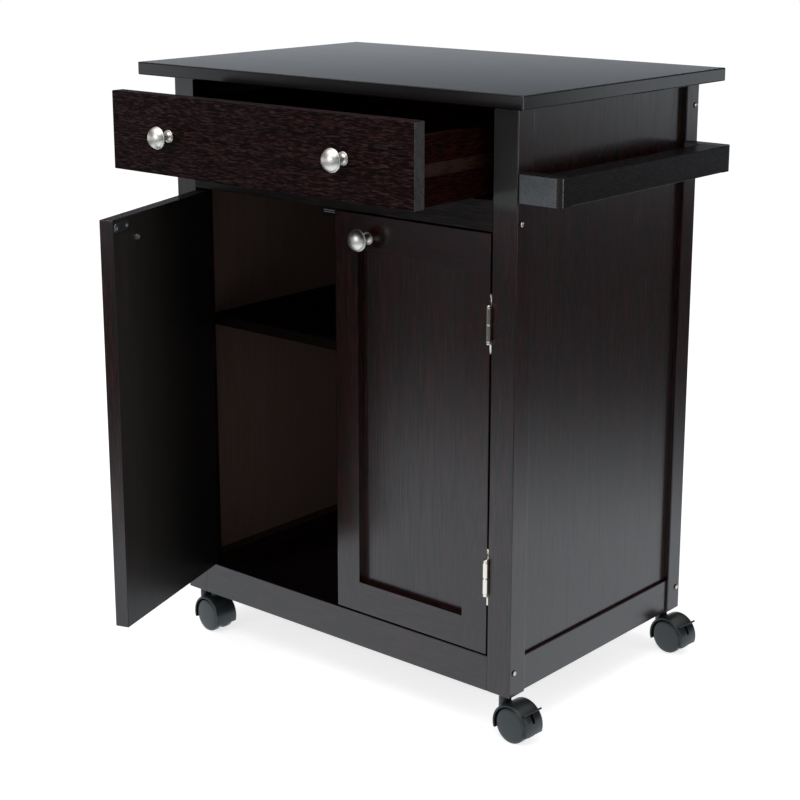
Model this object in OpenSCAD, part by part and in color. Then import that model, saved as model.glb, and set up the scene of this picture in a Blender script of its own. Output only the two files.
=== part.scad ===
// Rolling microwave cart: a wooden carcass with one drawer, two doors, a towel bar and four casters.
// Each piece is drawn with X = 0 on the carcass centreline, Y = 0 on the front face of the posts
// and Z = 0 on the floor. in_frame() then moves it so that the origin lies on the floor, below the
// middle of the cart's box as it stands: drawer pulled out and left door open.

/* [Carcass] */
// Width over the posts
carcass_w = 612; // [520:1:760]
// Depth over the posts
carcass_d = 415; // [380:1:480]
// Height of the posts
carcass_h = 778; // [700:1:860]
// Width of a post, seen from the front
post_w = 38; // [36:1:44]
// Depth of a front post
front_post_d = 33; // [30:1:40]
// Depth of a rear post
rear_post_d = 30; // [28:1:40]

/* [Top board] */
// Thickness of the top board
top_t = 18; // [15:1:30]
// Overhang of the top board at each side
top_side_overhang = 34; // [10:1:50]
// Overhang of the top board at the front
top_front_overhang = 38; // [10:1:50]
// Overhang of the top board at the rear
top_rear_overhang = 11; // [0:1:30]

/* [Rails] */
// Height of the bottom rails
bottom_rail_h = 50; // [44:1:70]
// Height of the rear top rail
top_rail_h = 50; // [44:1:80]
// Thickness of the front and rear rails
rail_t = 28; // [22:1:30]
// Thickness of the side bottom rails
side_rail_t = 28.5; // [24:0.5:32]
// Distance from the outer face of the posts in to a side bottom rail
side_rail_inset = 3.5; // [0:0.5:4]
// Thickness of the side bottom rails' tenons
tenon_t = 12; // [8:1:12]
// Distance from a side bottom rail's lower edge or panel groove to its tenons
tenon_edge = 8; // [5:1:12]
// Wood left between a tenon and the caster's socket
tenon_clear = 2; // [1:0.5:2]
// Height of the drawer bay, from the divider rail to the top board
drawer_bay_h = 119; // [100:1:150]
// Height of the divider rail
divider_h = 40; // [30:1:60]
// Depth of the divider rail
divider_d = 46; // [42:1:60]

/* [Panels and shelf] */
// Thickness of the side and back panels
panel_t = 5; // [4:0.5:8]
// Distance from the outer face of the posts in to a side or back panel
panel_recess = 8; // [5:0.5:12]
// Depth of the grooves that hold the panels
groove_d = 6; // [3:0.5:8]
// Thickness of the bottom panel
bottom_t = 12; // [9:1:18]
// Height of the bottom panel above the lower edge of the rails
bottom_lift = 10; // [4:1:20]
// Thickness of the shelf
shelf_t = 15; // [12:1:22]
// Height of the shelf's upper face above the lower edge of the carcass
shelf_lift = 422; // [250:1:500]
// Distance from the front of the posts to the shelf's front edge
shelf_setback = 45; // [42:1:120]
// Radius of a shelf pin below the shelf
shelf_pin_r = 3.5; // [3:0.5:5]
// Length of a shelf pin below the shelf
shelf_pin_l = 9; // [6:1:14]
// Distance from the shelf's front or rear edge to its pins
shelf_pin_inset = 28; // [15:1:60]
// Side of the square strips that hold the top board
top_cleat_s = 20; // [16:1:24]

/* [Towel bar] */
// Distance that the towel bar stands out from the carcass
towel_reach = 62; // [50:1:90]
// Thickness of the towel bar
towel_t = 36; // [20:1:40]
// Height of the towel bar and its arms
towel_h = 36; // [20:1:50]
// Width of an arm
towel_arm_w = 22; // [18:1:30]
// Distance from the front of the posts to the front arm
towel_front_gap = 3; // [0:1:8]
// Distance from the rear of the posts to the rear arm
towel_rear_gap = 11; // [0:1:12]
// Distance from the top board down to the towel bar
towel_drop = 83; // [60:1:120]
// Radius of the bar's outer corners
towel_corner_r = 9; // [3:0.5:12]
// Radius of the hollow corners between the arms and the bar
towel_fillet_r = 9; // [3:0.5:12]

/* [Drawer] */
// Distance that the drawer is pulled out as the cart stands
drawer_out = 150; // [0:1:200]
// Height of the drawer front
drawer_front_h = 106; // [80:1:140]
// Thickness of the drawer front
drawer_front_t = 20; // [16:1:24]
// Gap between the drawer front and the top board
drawer_top_gap = 8; // [3:1:10]
// Gap between the drawer front and each post
drawer_side_gap = 1.5; // [1:0.5:3]
// Length of the drawer behind its front
drawer_l = 345; // [250:1:350]
// Thickness of the drawer's sides and back
drawer_board_t = 12; // [10:1:16]
// Distance from the top of the drawer front down to the top of the sides
drawer_side_drop = 20; // [5:1:40]
// Space between a drawer side and its post
drawer_side_space = 11; // [8:1:14]
// Thickness of the drawer's bottom
drawer_bottom_t = 5; // [4:0.5:8]
// Height of the drawer's bottom above the lower edge of its sides
drawer_bottom_lift = 8; // [5:1:15]
// Height of a runner
runner_h = 17; // [12:1:22]
// Depth of a runner in its groove
runner_bite = 5.5; // [4:0.5:7]
// Running gap between a runner and its groove
runner_gap = 0.5; // [0.3:0.1:1]
// Distance of each drawer knob from the drawer's middle
drawer_knob_x = 155; // [100:1:200]

/* [Doors] */
// Angle that the left door stands open
left_door_open = 71.5; // [0:0.5:100]
// Thickness of a door
door_t = 20; // [18:1:24]
// Width of a door stile
stile_w = 41; // [35:1:60]
// Height of a door's top rail
door_top_rail_h = 48; // [44:1:70]
// Height of a door's bottom rail
door_bottom_rail_h = 44; // [40:1:70]
// Thickness of a door panel, which lies flush with the door's inner face
door_panel_t = 9; // [6:0.5:12]
// Gap above and below a door
door_gap = 2; // [1.5:0.5:4]
// Gap between the two doors
door_mid_gap = 3; // [2:0.5:5]
// Distance of a door knob from the door's free edge
door_knob_inset = 60; // [50:1:90]
// Distance of a door knob from the door's top
door_knob_drop = 31; // [20:1:38]

/* [Knobs] */
// Radius of a knob's cap
knob_r = 15; // [10:0.5:18]
// Height of a knob
knob_h = 32; // [24:0.5:36]
// Radius of a knob's foot
knob_foot_r = 8.5; // [6:0.5:10]
// Radius of a knob's neck
knob_neck_r = 4.5; // [4:0.5:6]
// Radius of the screws that hold the knobs
knob_screw_r = 2; // [1.5:0.25:2.5]

/* [Hinges and catches] */
// Gap between a door and its post, which holds the hinge leaves
hinge_gap = 2.4; // [2:0.1:4]
// Thickness of a hinge leaf
leaf_t = 1.1; // [0.8:0.1:1.2]
// Height of a hinge leaf
leaf_h = 78; // [60:1:90]
// Depth of a hinge leaf between door and post
leaf_d = 18; // [16:1:19]
// Radius of a hinge knuckle
knuckle_r = 3.6; // [3:0.1:4.5]
// Radius of a hinge pin
hinge_pin_r = 2; // [1.5:0.1:2.4]
// Height of a hinge's barrel
barrel_h = 44; // [36:1:60]
// Distance of the lower hinge's middle from the door's bottom
hinge_low_inset = 109; // [80:1:140]
// Distance of the upper hinge's middle from the door's top
hinge_top_inset = 116; // [80:1:140]
// Distance of each hinge screw from the hinge's middle
hinge_screw_z = 31; // [27:1:33]
// Length of a magnetic catch
catch_l = 40; // [30:1:44]
// Depth of a magnetic catch
catch_d = 15; // [10:1:18]
// Height of a magnetic catch
catch_h = 18; // [15:1:20]
// Length of a strike plate
strike_l = 36; // [28:1:38]
// Height of a strike plate
strike_h = 12; // [10:1:14]
// Thickness of a strike plate
strike_t = 1.2; // [0.8:0.1:2]
// Distance from a door's free edge to its strike plate
strike_inset = 3; // [2:0.5:6]
// Distance from a door's top to the middle of its strike plate
strike_drop = 11; // [9:0.5:12]

/* [Casters] */
// Height of a caster, from the floor to the carcass
caster_h = 62; // [60:1:75]
// Radius of a wheel
wheel_r = 25; // [22:0.5:26]
// Width of a wheel
wheel_w = 11.5; // [9:0.5:14]
// Distance that the wheels trail behind the stem
trail = 22.5; // [20:0.5:24]
// Width of a hood
hood_w = 36; // [35:0.5:40]
// Thickness of a hood's shell
hood_t = 3.2; // [2.5:0.1:4]
// Width of the web between the wheels
web_w = 11; // [11:0.5:12]
// Gap between each wheel and the web
wheel_gap = 0.5; // [0.3:0.1:1]
// Gap between a wheel's tread and the hood
hood_gap = 1.3; // [1:0.1:2]
// Height of a hood's lower edge below the wheels' axle
hood_skirt = 9; // [4:0.5:12]
// Radius of a stem
stem_r = 4; // [3:0.1:4.2]
// Length of a stem's socket in its post
socket_l = 26; // [20:1:27]
// Wall of a stem's socket
socket_t = 1; // [0.8:0.1:1.2]
// Distance from the side face of a post to the stem's axis
stem_inset_x = 19; // [17:0.5:22]
// Distance from the front or rear face of a post to the stem's axis
stem_inset_y = 16; // [14:0.5:18]
// Radius of a wheel's axle
axle_r = 2.5; // [2:0.1:3]
// Angle of the front left caster from straight
front_left_yaw = -7; // [-180:1:180]
// Angle of the front right caster from straight
front_right_yaw = -4; // [-180:1:180]
// Angle of the rear left caster from straight
rear_left_yaw = -5; // [-180:1:180]
// Angle of the rear right caster from straight
rear_right_yaw = -6; // [-180:1:180]
// Angle of a brake lever above the axle
lever_angle = 42; // [36:1:46]
// Width of a brake lever's pedal
lever_w = 32; // [20:1:34]
// Thickness of a brake lever's pedal
lever_t = 2.4; // [1.6:0.1:3]
// Distance that a brake lever stands out from its hood
lever_reach = 8; // [5:0.5:12]
// Width of the slot for a brake lever's arm
slot_w = 5.4; // [4.4:0.2:6]
// Distance from the axle to a brake lever's pin
pivot_reach = 17; // [15:0.5:18]
// Radius of a brake lever's pin
lever_pin_r = 1.4; // [1.2:0.1:1.6]

/* [Fasteners] */
// Radius of the heads of the bolts in the posts
bolt_head_r = 4; // [3:0.5:6]
// Height of the heads of the bolts in the posts
bolt_head_h = 2.2; // [1:0.1:3]
// Radius of the bolts in the posts
bolt_r = 2.5; // [2:0.1:3]
// Length of a bolt beyond its post
bolt_bite = 30; // [20:1:45]
// Distance of the upper and lower bolts from the ends of the posts
bolt_end_z = 34; // [25:1:40]
// Distance of a bolt from the front or rear face of its post
bolt_inset = 9; // [7:0.5:12]
// Radius of the wood screws
screw_r = 1.6; // [1.2:0.1:2]
// Radius of the heads of the wood screws
screw_head_r = 3; // [2.4:0.1:3.4]
// Length of the wood screws
screw_l = 14; // [10:1:18]

/* [Fits] */
// Gap around pieces that are glued, screwed or pressed together
press_gap = 0.02; // [0.01:0.01:0.05]
// Gap around a panel in its groove
panel_gap = 0.2; // [0.1:0.1:0.5]
// Running gap between a turning piece and its pin
run_gap = 0.05; // [0.03:0.01:0.09]
// Gap between faces that move past each other
face_gap = 0.3; // [0.3:0.1:0.6]

/* [Hidden] */
$fn = 48;
eps = 0.01;

wood = "#2b211f";
inner_wood = "#33241f";
bright_metal = "#c4c6c8";
caster_grey = "#3a4042";

half_w = carcass_w / 2;
inner_x = half_w - post_w;
base_z = caster_h;
top_z = base_z + carcass_h;
rear_front_y = carcass_d - rear_post_d;
panel_x = half_w - panel_recess;
side_inner_x = panel_x - panel_t;
side_rail_inner_x = half_w - side_rail_inset - side_rail_t;
divider_top_z = top_z - drawer_bay_h;
divider_bottom_z = divider_top_z - divider_h;

// Box from its lowest corner to its highest corner
module span(low, high) { translate(low) cube(high - low); }
// The right half's pieces, mirrored to the left where side is -1
module on_side(side) { mirror([side < 0 ? 1 : 0, 0, 0]) children(); }
module on_both_sides() { for (side = [-1, 1]) on_side(side) children(); }
// Cylinder along X or Y from a start point
module rod_x(r, l) { rotate([0, 90, 0]) cylinder(r = r, h = l); }
module rod_y(r, l) { rotate([-90, 0, 0]) cylinder(r = r, h = l); }

// The box of the cart as it stands, which sets the origin
door_w = inner_x - hinge_gap - door_mid_gap / 2;
pin_y = -(knuckle_r + face_gap);
door_reach = (door_w + hinge_gap / 2) * sin(left_door_open) + pin_y * cos(left_door_open);
box_front_y = min(pin_y - door_reach, -drawer_out - knob_h, -top_front_overhang);
box_rear_y = carcass_d + top_rear_overhang;
box_left_x = -half_w - top_side_overhang;
box_right_x = half_w + max(towel_reach, top_side_overhang);
module in_frame() {
    translate([-round((box_left_x + box_right_x) / 2), -round((box_front_y + box_rear_y) / 2), 0])
        children();
}

// ---- Top board

module top_board() {
    color(wood)
        span([-half_w - top_side_overhang, -top_front_overhang, top_z],
            [half_w + top_side_overhang, carcass_d + top_rear_overhang, top_z + top_t]);
}

// ---- Posts

// Places of the bolts: Y from the front face, Z above the floor
front_bolts = [[bolt_inset, base_z + bolt_end_z], [bolt_inset, divider_bottom_z + divider_h / 3]];
rear_bolts = [[carcass_d - bolt_inset, base_z + bolt_end_z],
    [carcass_d - bolt_inset, top_z - bolt_end_z]];

towel_z = top_z - towel_drop - towel_h;
towel_mid_z = towel_z + towel_h / 2;
front_arm_y = towel_front_gap;
rear_arm_y = carcass_d - towel_rear_gap - towel_arm_w;
towel_screws = [[front_arm_y + towel_arm_w / 2, towel_mid_z],
    [rear_arm_y + towel_arm_w / 2 + 2, towel_mid_z]];

module bolt_holes(places) {
    for (p = places)
        translate([inner_x - bolt_bite - eps, p[0], p[1]])
            rod_x(bolt_r + press_gap, post_w + bolt_bite + 2 * eps);
}

socket_r = stem_r + socket_t;
module socket_hole(y) {
    translate([half_w - stem_inset_x, y, base_z - eps])
        cylinder(r = socket_r + press_gap, h = socket_l + 2 * eps);
}

// Tenons of a side bottom rail, or their mortises where gap is set
module side_tenons(gap = 0) {
    clear_y = stem_inset_y + socket_r + tenon_clear;
    span([side_inner_x - tenon_t - gap, clear_y - gap, base_z + tenon_edge - gap],
        [side_inner_x + gap, carcass_d - clear_y + gap,
            base_z + bottom_rail_h - groove_d - tenon_edge + gap]);
}

// Side panel, or its groove where gap is set
module side_panel_body(gap = 0) {
    span([panel_x - panel_t - gap, front_post_d - groove_d - gap,
            base_z + bottom_rail_h - groove_d - gap],
        [panel_x + gap, rear_front_y + groove_d + gap, top_z + (gap > 0 ? eps : 0)]);
}

// Back panel, or its groove where gap is set
module back_panel_body(gap = 0) {
    span([-inner_x - groove_d - gap, carcass_d - panel_recess - panel_t - gap,
            base_z + bottom_rail_h - groove_d - gap],
        [inner_x + groove_d + gap, carcass_d - panel_recess + gap,
            top_z - top_rail_h + groove_d + gap]);
}

hinge_zs = [base_z + bottom_rail_h + door_gap + hinge_low_inset,
    divider_bottom_z - door_gap - hinge_top_inset];

module front_post(side) {
    color(wood) on_side(side) difference() {
        span([inner_x, 0, base_z], [half_w, front_post_d, top_z]);
        side_panel_body(panel_gap);
        side_tenons(press_gap);
        bolt_holes(front_bolts);
        socket_hole(stem_inset_y);
        hinge_screw_holes(post_side = true);
        if (side > 0) towel_screw_hole(towel_screws[0]);
    }
}

module rear_post(side) {
    color(wood) on_side(side) difference() {
        span([inner_x, rear_front_y, base_z], [half_w, carcass_d, top_z]);
        side_panel_body(panel_gap);
        back_panel_body(panel_gap);
        side_tenons(press_gap);
        bolt_holes(rear_bolts);
        socket_hole(carcass_d - stem_inset_y);
        if (side > 0) towel_screw_hole(towel_screws[1]);
    }
}

module front_left_post() { front_post(-1); }
module front_right_post() { front_post(1); }
module rear_left_post() { rear_post(-1); }
module rear_right_post() { rear_post(1); }

// ---- Rails

module side_bottom_rail(side) {
    color(wood) on_side(side) difference() {
        union() {
            span([side_rail_inner_x, front_post_d, base_z],
                [half_w - side_rail_inset, rear_front_y, base_z + bottom_rail_h]);
            side_tenons();
        }
        side_panel_body(panel_gap);
        bottom_panel_body(panel_gap);
    }
}
module left_bottom_rail() { side_bottom_rail(-1); }
module right_bottom_rail() { side_bottom_rail(1); }

module front_bottom_rail() {
    color(wood) difference() {
        span([-inner_x, 0, base_z], [inner_x, rail_t, base_z + bottom_rail_h]);
        on_both_sides() bolt_holes(front_bolts);
        bottom_panel_body(panel_gap);
    }
}

module rear_bottom_rail() {
    color(wood) difference() {
        span([-inner_x, carcass_d - rail_t, base_z], [inner_x, carcass_d, base_z + bottom_rail_h]);
        on_both_sides() bolt_holes(rear_bolts);
        bottom_panel_body(panel_gap);
        back_panel_body(panel_gap);
    }
}

module rear_top_rail() {
    color(wood) difference() {
        span([-inner_x, carcass_d - rail_t, top_z - top_rail_h], [inner_x, carcass_d, top_z]);
        on_both_sides() bolt_holes(rear_bolts);
        back_panel_body(panel_gap);
    }
}

module divider_rail() {
    color(wood) difference() {
        span([-inner_x, 0, divider_bottom_z], [inner_x, divider_d, divider_top_z]);
        on_both_sides() bolt_holes(front_bolts);
    }
}

// ---- Panels and shelf

module side_panel() {
    color(inner_wood) difference() {
        side_panel_body();
        shelf_pin_holes();
    }
}
module left_side_panel() { on_side(-1) side_panel(); }
module right_side_panel() { side_panel(); }
module back_panel() { color(inner_wood) back_panel_body(); }

// Bottom panel, or its groove where gap is set
module bottom_panel_body(gap = 0) {
    difference() {
        span([-side_rail_inner_x - groove_d - gap, rail_t - groove_d - gap,
                base_z + bottom_lift - gap],
            [side_rail_inner_x + groove_d + gap, carcass_d - rail_t + groove_d + gap,
                base_z + bottom_lift + bottom_t + gap]);
        if (gap == 0) on_both_sides() {
            span([inner_x - panel_gap, -eps, base_z],
                [half_w, front_post_d + panel_gap, top_z]);
            span([inner_x - panel_gap, rear_front_y - panel_gap, base_z],
                [half_w, carcass_d + eps, top_z]);
        }
    }
}
module bottom_panel() { color(inner_wood) bottom_panel_body(); }

shelf_top_z = base_z + shelf_lift;
shelf_bottom_z = shelf_top_z - shelf_t;
back_inner_y = carcass_d - panel_recess - panel_t;
module shelf() {
    color(inner_wood) difference() {
        span([-side_inner_x + panel_gap, shelf_setback, shelf_bottom_z],
            [side_inner_x - panel_gap, back_inner_y - panel_gap, shelf_top_z]);
        on_both_sides()
            span([inner_x - panel_gap, rear_front_y - panel_gap, shelf_bottom_z - eps],
                [half_w, carcass_d, shelf_top_z + eps]);
    }
}

// Pins in blind holes of the side panels; the shelf lies on them
pin_hole_r = 2.5;
pin_hole_d = panel_t - 1;
shelf_pin_ys = [shelf_setback + shelf_pin_inset, rear_front_y - shelf_pin_inset];
module shelf_pin_holes() {
    for (y = shelf_pin_ys)
        translate([side_inner_x - eps, y, shelf_bottom_z - shelf_pin_r])
            rod_x(pin_hole_r + press_gap, pin_hole_d + 2 * eps);
}
module shelf_pins() {
    color(bright_metal) on_both_sides() for (y = shelf_pin_ys)
        translate([side_inner_x, y, shelf_bottom_z - shelf_pin_r]) {
            rod_x(pin_hole_r, pin_hole_d);
            translate([-shelf_pin_l, 0, 0]) rod_x(shelf_pin_r, shelf_pin_l);
        }
}

module top_cleats() {
    color(inner_wood) on_both_sides()
        span([side_inner_x - top_cleat_s, front_post_d, top_z - top_cleat_s],
            [side_inner_x, rear_front_y, top_z]);
}

// ---- Drawer runners

drawer_top_z = top_z - drawer_top_gap;
drawer_low_z = drawer_top_z - drawer_front_h;
drawer_side_top_z = drawer_top_z - drawer_side_drop;
runner_mid_z = (drawer_side_top_z + drawer_low_z) / 2;
drawer_side_x = inner_x - drawer_side_space;
runner_front_y = drawer_front_t + 3;
runner_rear_y = rear_front_y + 16;
module drawer_runners() {
    color(inner_wood) on_both_sides()
        span([drawer_side_x - runner_bite, runner_front_y, runner_mid_z - runner_h / 2],
            [inner_x, runner_rear_y, runner_mid_z + runner_h / 2]);
}

// ---- Towel bar

// Front arm seen from above: round at its outer corner, hollow at its inner one
module arm_outline() {
    r = towel_corner_r;
    square([towel_reach - r, towel_arm_w]);
    translate([0, r]) square([towel_reach, towel_arm_w - r]);
    translate([towel_reach - r, r]) circle(r);
    translate([towel_reach - towel_t, towel_arm_w]) difference() {
        translate([-towel_fillet_r, -eps]) square([towel_fillet_r, towel_fillet_r + eps]);
        translate([-towel_fillet_r, towel_fillet_r]) circle(towel_fillet_r);
    }
}

module towel_bar_arms() {
    color(wood) difference() {
        union() {
            translate([half_w, front_arm_y, towel_z]) linear_extrude(towel_h) arm_outline();
            translate([half_w, rear_arm_y + towel_arm_w, towel_z]) mirror([0, 1, 0])
                linear_extrude(towel_h) arm_outline();
        }
        for (place = towel_screws) towel_screw_hole(place);
    }
}

module towel_bar() {
    color(wood)
        span([half_w + towel_reach - towel_t, front_arm_y + towel_arm_w, towel_z],
            [half_w + towel_reach, rear_arm_y, towel_z + towel_h]);
}

// Screws through the posts into the arms; their heads are sunk in the posts' inner faces
arm_screw_bite = 25;
arm_screw_head_h = 2.4;
arm_screw_sink = 3;
module towel_screw_hole(place) {
    translate([inner_x, place[0], place[1]]) {
        translate([-eps, 0, 0]) rod_x(bolt_r + press_gap, post_w + arm_screw_bite + press_gap + eps);
        translate([-eps, 0, 0]) rod_x(bolt_head_r + press_gap, arm_screw_sink + eps);
    }
}

module towel_bar_screws() {
    for (place = towel_screws) translate([inner_x + arm_screw_sink, place[0], place[1]]) {
        translate([-arm_screw_head_h, 0, 0]) rod_x(bolt_head_r, arm_screw_head_h);
        rod_x(bolt_r, post_w - arm_screw_sink + arm_screw_bite);
    }
}

// Screws that hold the towel bar's arms and the hinges to the posts
module carcass_screws() {
    color(bright_metal) {
        towel_bar_screws();
        on_both_sides() hinge_screws(post_side = true);
    }
}

// ---- Bolts in the posts

// Domed head, as a slice of a ball whose rim has the head's radius
module domed_head(r, h) {
    ball_r = (r * r + h * h) / (2 * h);
    intersection() {
        translate([0, 0, h - ball_r]) sphere(ball_r);
        cylinder(r = r, h = h + eps);
    }
}

module frame_bolts() {
    color(bright_metal) on_both_sides() for (p = concat(front_bolts, rear_bolts))
        translate([half_w, p[0], p[1]]) {
            translate([-post_w - bolt_bite, 0, 0]) rod_x(bolt_r, post_w + bolt_bite);
            rotate([0, 90, 0]) domed_head(bolt_head_r, bolt_head_h);
        }
}

// ---- Magnetic catches

strike_x = door_mid_gap / 2 + strike_inset + strike_l / 2;
door_top_z = divider_bottom_z - door_gap;
door_low_z = base_z + bottom_rail_h + door_gap;
strike_z = door_top_z - strike_drop;
pole_t = 1.2;
pole_step = 5;
catch_y = door_t + strike_t + face_gap + pole_t;
module magnetic_catches() {
    on_both_sides() {
        color(bright_metal) for (dz = [-pole_step, pole_step - pole_t])
            span([strike_x - catch_l / 2 + 4, catch_y - pole_t, strike_z + dz],
                [strike_x + catch_l / 2 - 4, catch_y, strike_z + dz + pole_t]);
        color("#2a2a2c")
            span([strike_x - catch_l / 2, catch_y, divider_bottom_z - catch_h],
                [strike_x + catch_l / 2, catch_y + catch_d, divider_bottom_z]);
    }
}

// ---- Hinges, drawn for the right door where it is closed

pin_x = inner_x - hinge_gap / 2;
leaf_y = 0.5;
half_barrel = barrel_h / 2;

// Leaf with its knuckle. turn is 1 for the post's leaf, with the lower knuckle, and -1 for the
// door's leaf, with the upper one.
module hinge_leaf(turn) {
    leaf_x = turn * hinge_gap / 2;
    low_z = turn > 0 ? -half_barrel : face_gap / 2;
    translate([pin_x, 0, 0]) difference() {
        union() {
            span([min(leaf_x, leaf_x - turn * leaf_t), leaf_y, -leaf_h / 2],
                [max(leaf_x, leaf_x - turn * leaf_t), leaf_y + leaf_d, leaf_h / 2]);
            span([min(leaf_x, leaf_x - turn * leaf_t), pin_y, low_z],
                [max(leaf_x, leaf_x - turn * leaf_t), leaf_y + eps, low_z + half_barrel - face_gap / 2]);
            translate([0, pin_y, low_z]) cylinder(r = knuckle_r, h = half_barrel - face_gap / 2);
        }
        translate([0, pin_y, -leaf_h / 2])
            cylinder(r = hinge_pin_r + (turn > 0 ? press_gap : run_gap), h = leaf_h);
        for (dz = [-hinge_screw_z, hinge_screw_z])
            translate([leaf_x, leaf_y + leaf_d / 2, dz]) rotate([0, turn > 0 ? -90 : 90, 0])
                leaf_screw(press_gap);
    }
}

// Countersunk screw that stands in a leaf, head first, pointing along -Z; grown by gap as a hole
module leaf_screw(gap = 0) {
    rotate_extrude() polygon([[0, -screw_l - gap], [screw_r + gap, -screw_l - gap],
        [screw_r + gap, -gap], [screw_head_r + gap, leaf_t], [0, leaf_t]]);
}

module hinge_screw_holes(post_side) {
    for (z = hinge_zs) for (dz = [-hinge_screw_z, hinge_screw_z])
        translate([post_side ? inner_x - eps : inner_x - hinge_gap + eps, leaf_y + leaf_d / 2, z + dz])
            rotate([0, post_side ? 90 : -90, 0]) cylinder(r = screw_r + press_gap, h = screw_l + 2 * eps);
}

module hinge_screws(post_side) {
    for (z = hinge_zs) for (dz = [-hinge_screw_z, hinge_screw_z])
        translate([post_side ? inner_x : inner_x - hinge_gap, leaf_y + leaf_d / 2, z + dz])
            rotate([0, post_side ? -90 : 90, 0]) leaf_screw();
}

// Pin with a round tip above and below the barrel
module hinge_pin() {
    tip_h = 4;
    rotate_extrude() polygon([[0, -half_barrel - tip_h], [knuckle_r - 1.2, -half_barrel - tip_h + 0.6],
        [knuckle_r - 0.3, -half_barrel - tip_h / 2], [knuckle_r - 0.3, -half_barrel - press_gap],
        [hinge_pin_r, -half_barrel - press_gap], [hinge_pin_r, half_barrel + face_gap],
        [knuckle_r - 0.3, half_barrel + face_gap], [knuckle_r - 0.3, half_barrel + tip_h / 2],
        [knuckle_r - 1.2, half_barrel + tip_h - 0.6], [0, half_barrel + tip_h]]);
}

module post_hinges() {
    color(bright_metal) on_both_sides() for (z = hinge_zs) translate([0, 0, z]) {
        hinge_leaf(1);
        translate([pin_x, pin_y, 0]) hinge_pin();
    }
}

// ---- Doors, drawn as the right door where it is closed

door_free_x = door_mid_gap / 2;
door_hinge_x = inner_x - hinge_gap;
door_rail_low_x = door_free_x + stile_w;
door_rail_high_x = door_hinge_x - stile_w;

module in_left_door() {
    translate([-pin_x, pin_y, 0]) rotate([0, 0, -left_door_open]) translate([pin_x, -pin_y, 0])
        mirror([1, 0, 0]) children();
}

// Door panel, or its rabbet where gap is set
module door_panel_body(gap = 0) {
    span([door_rail_low_x - groove_d - gap, door_t - door_panel_t - gap,
            door_low_z + door_bottom_rail_h - groove_d - gap],
        [door_rail_high_x + groove_d + gap, door_t + (gap > 0 ? eps : 0),
            door_top_z - door_top_rail_h + groove_d + gap]);
}

door_knob_x = door_free_x + door_knob_inset;
door_knob_z = door_top_z - door_knob_drop;
strike_screw_dx = strike_l / 2 - 5;

// Two stiles and two rails, which meet along thin glue lines
module door_frame() {
    color(wood) difference() {
        union() {
            span([door_free_x, 0, door_low_z], [door_rail_low_x, door_t, door_top_z]);
            span([door_rail_high_x, 0, door_low_z], [door_hinge_x, door_t, door_top_z]);
            span([door_rail_low_x + press_gap, 0, door_low_z],
                [door_rail_high_x - press_gap, door_t, door_low_z + door_bottom_rail_h]);
            span([door_rail_low_x + press_gap, 0, door_top_z - door_top_rail_h],
                [door_rail_high_x - press_gap, door_t, door_top_z]);
        }
        door_panel_body(panel_gap);
        hinge_screw_holes(post_side = false);
        translate([door_knob_x, -eps, door_knob_z]) rod_y(knob_screw_r + press_gap, door_t + 2 * eps);
        for (dx = [-strike_screw_dx, strike_screw_dx])
            translate([strike_x + dx, door_t - strike_screw_l, strike_z])
                rod_y(screw_r + press_gap, strike_screw_l + eps);
    }
}
module door_panel() { color(inner_wood) door_panel_body(); }

strike_screw_l = 10;
module door_strike_plate() {
    color(bright_metal) difference() {
        span([strike_x - strike_l / 2, door_t, strike_z - strike_h / 2],
            [strike_x + strike_l / 2, door_t + strike_t, strike_z + strike_h / 2]);
        for (dx = [-strike_screw_dx, strike_screw_dx])
            translate([strike_x + dx, door_t - eps, strike_z]) rod_y(screw_head_r + press_gap, strike_t + 1);
    }
}

module door_hinges() {
    color(bright_metal) for (z = hinge_zs) translate([0, 0, z]) hinge_leaf(-1);
}

knob_screw_head_h = 2.6;
knob_screw_bite = 12;
module door_screws() {
    color(bright_metal) {
        hinge_screws(post_side = false);
        translate([door_knob_x, door_t, door_knob_z]) knob_screw(door_t);
        for (dx = [-strike_screw_dx, strike_screw_dx])
            translate([strike_x + dx, door_t - strike_screw_l, strike_z]) {
                rod_y(screw_r, strike_screw_l);
                translate([0, strike_screw_l, 0]) rod_y(screw_head_r, strike_t);
            }
    }
}

module left_door_frame() { in_left_door() door_frame(); }
module left_door_panel() { in_left_door() door_panel(); }
module left_door_knob() { in_left_door() door_knob(); }
module left_door_strike_plate() { in_left_door() door_strike_plate(); }
module left_door_hinges() { in_left_door() door_hinges(); }
module left_door_screws() { in_left_door() door_screws(); }
module right_door_frame() { door_frame(); }
module right_door_panel() { door_panel(); }
module right_door_knob() { door_knob(); }
module right_door_strike_plate() { door_strike_plate(); }
module right_door_hinges() { door_hinges(); }
module right_door_screws() { door_screws(); }

// ---- Knobs

// Knob that stands on Z = 0, with a blind hole for its screw
module knob() {
    cap_low = knob_h - knob_r * 0.8;
    difference() {
        rotate_extrude() polygon([[0, 0], [knob_foot_r, 0], [knob_foot_r, 1.6], [knob_foot_r - 1.5, 2.4],
            [knob_neck_r, 4], [knob_neck_r, cap_low - 4], [knob_r * 0.5, cap_low - 1.5],
            [knob_r * 0.93, cap_low], [knob_r, cap_low + 1.2], [knob_r * 0.97, cap_low + 3.4],
            [knob_r * 0.87, cap_low + 6], [knob_r * 0.7, cap_low + 8.4],
            [knob_r * 0.45, knob_h - 1.3], [knob_r * 0.2, knob_h - 0.3], [0, knob_h]]);
        translate([0, 0, -eps]) cylinder(r = knob_screw_r + press_gap, h = knob_screw_bite + 1);
    }
}

// Screw along Y, whose head lies on Y = 0 and whose shank passes a board of thickness t
module knob_screw(t) {
    rod_y(2 * knob_screw_r, knob_screw_head_h);
    translate([0, -t - knob_screw_bite, 0]) rod_y(knob_screw_r, t + knob_screw_bite);
}

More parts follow.
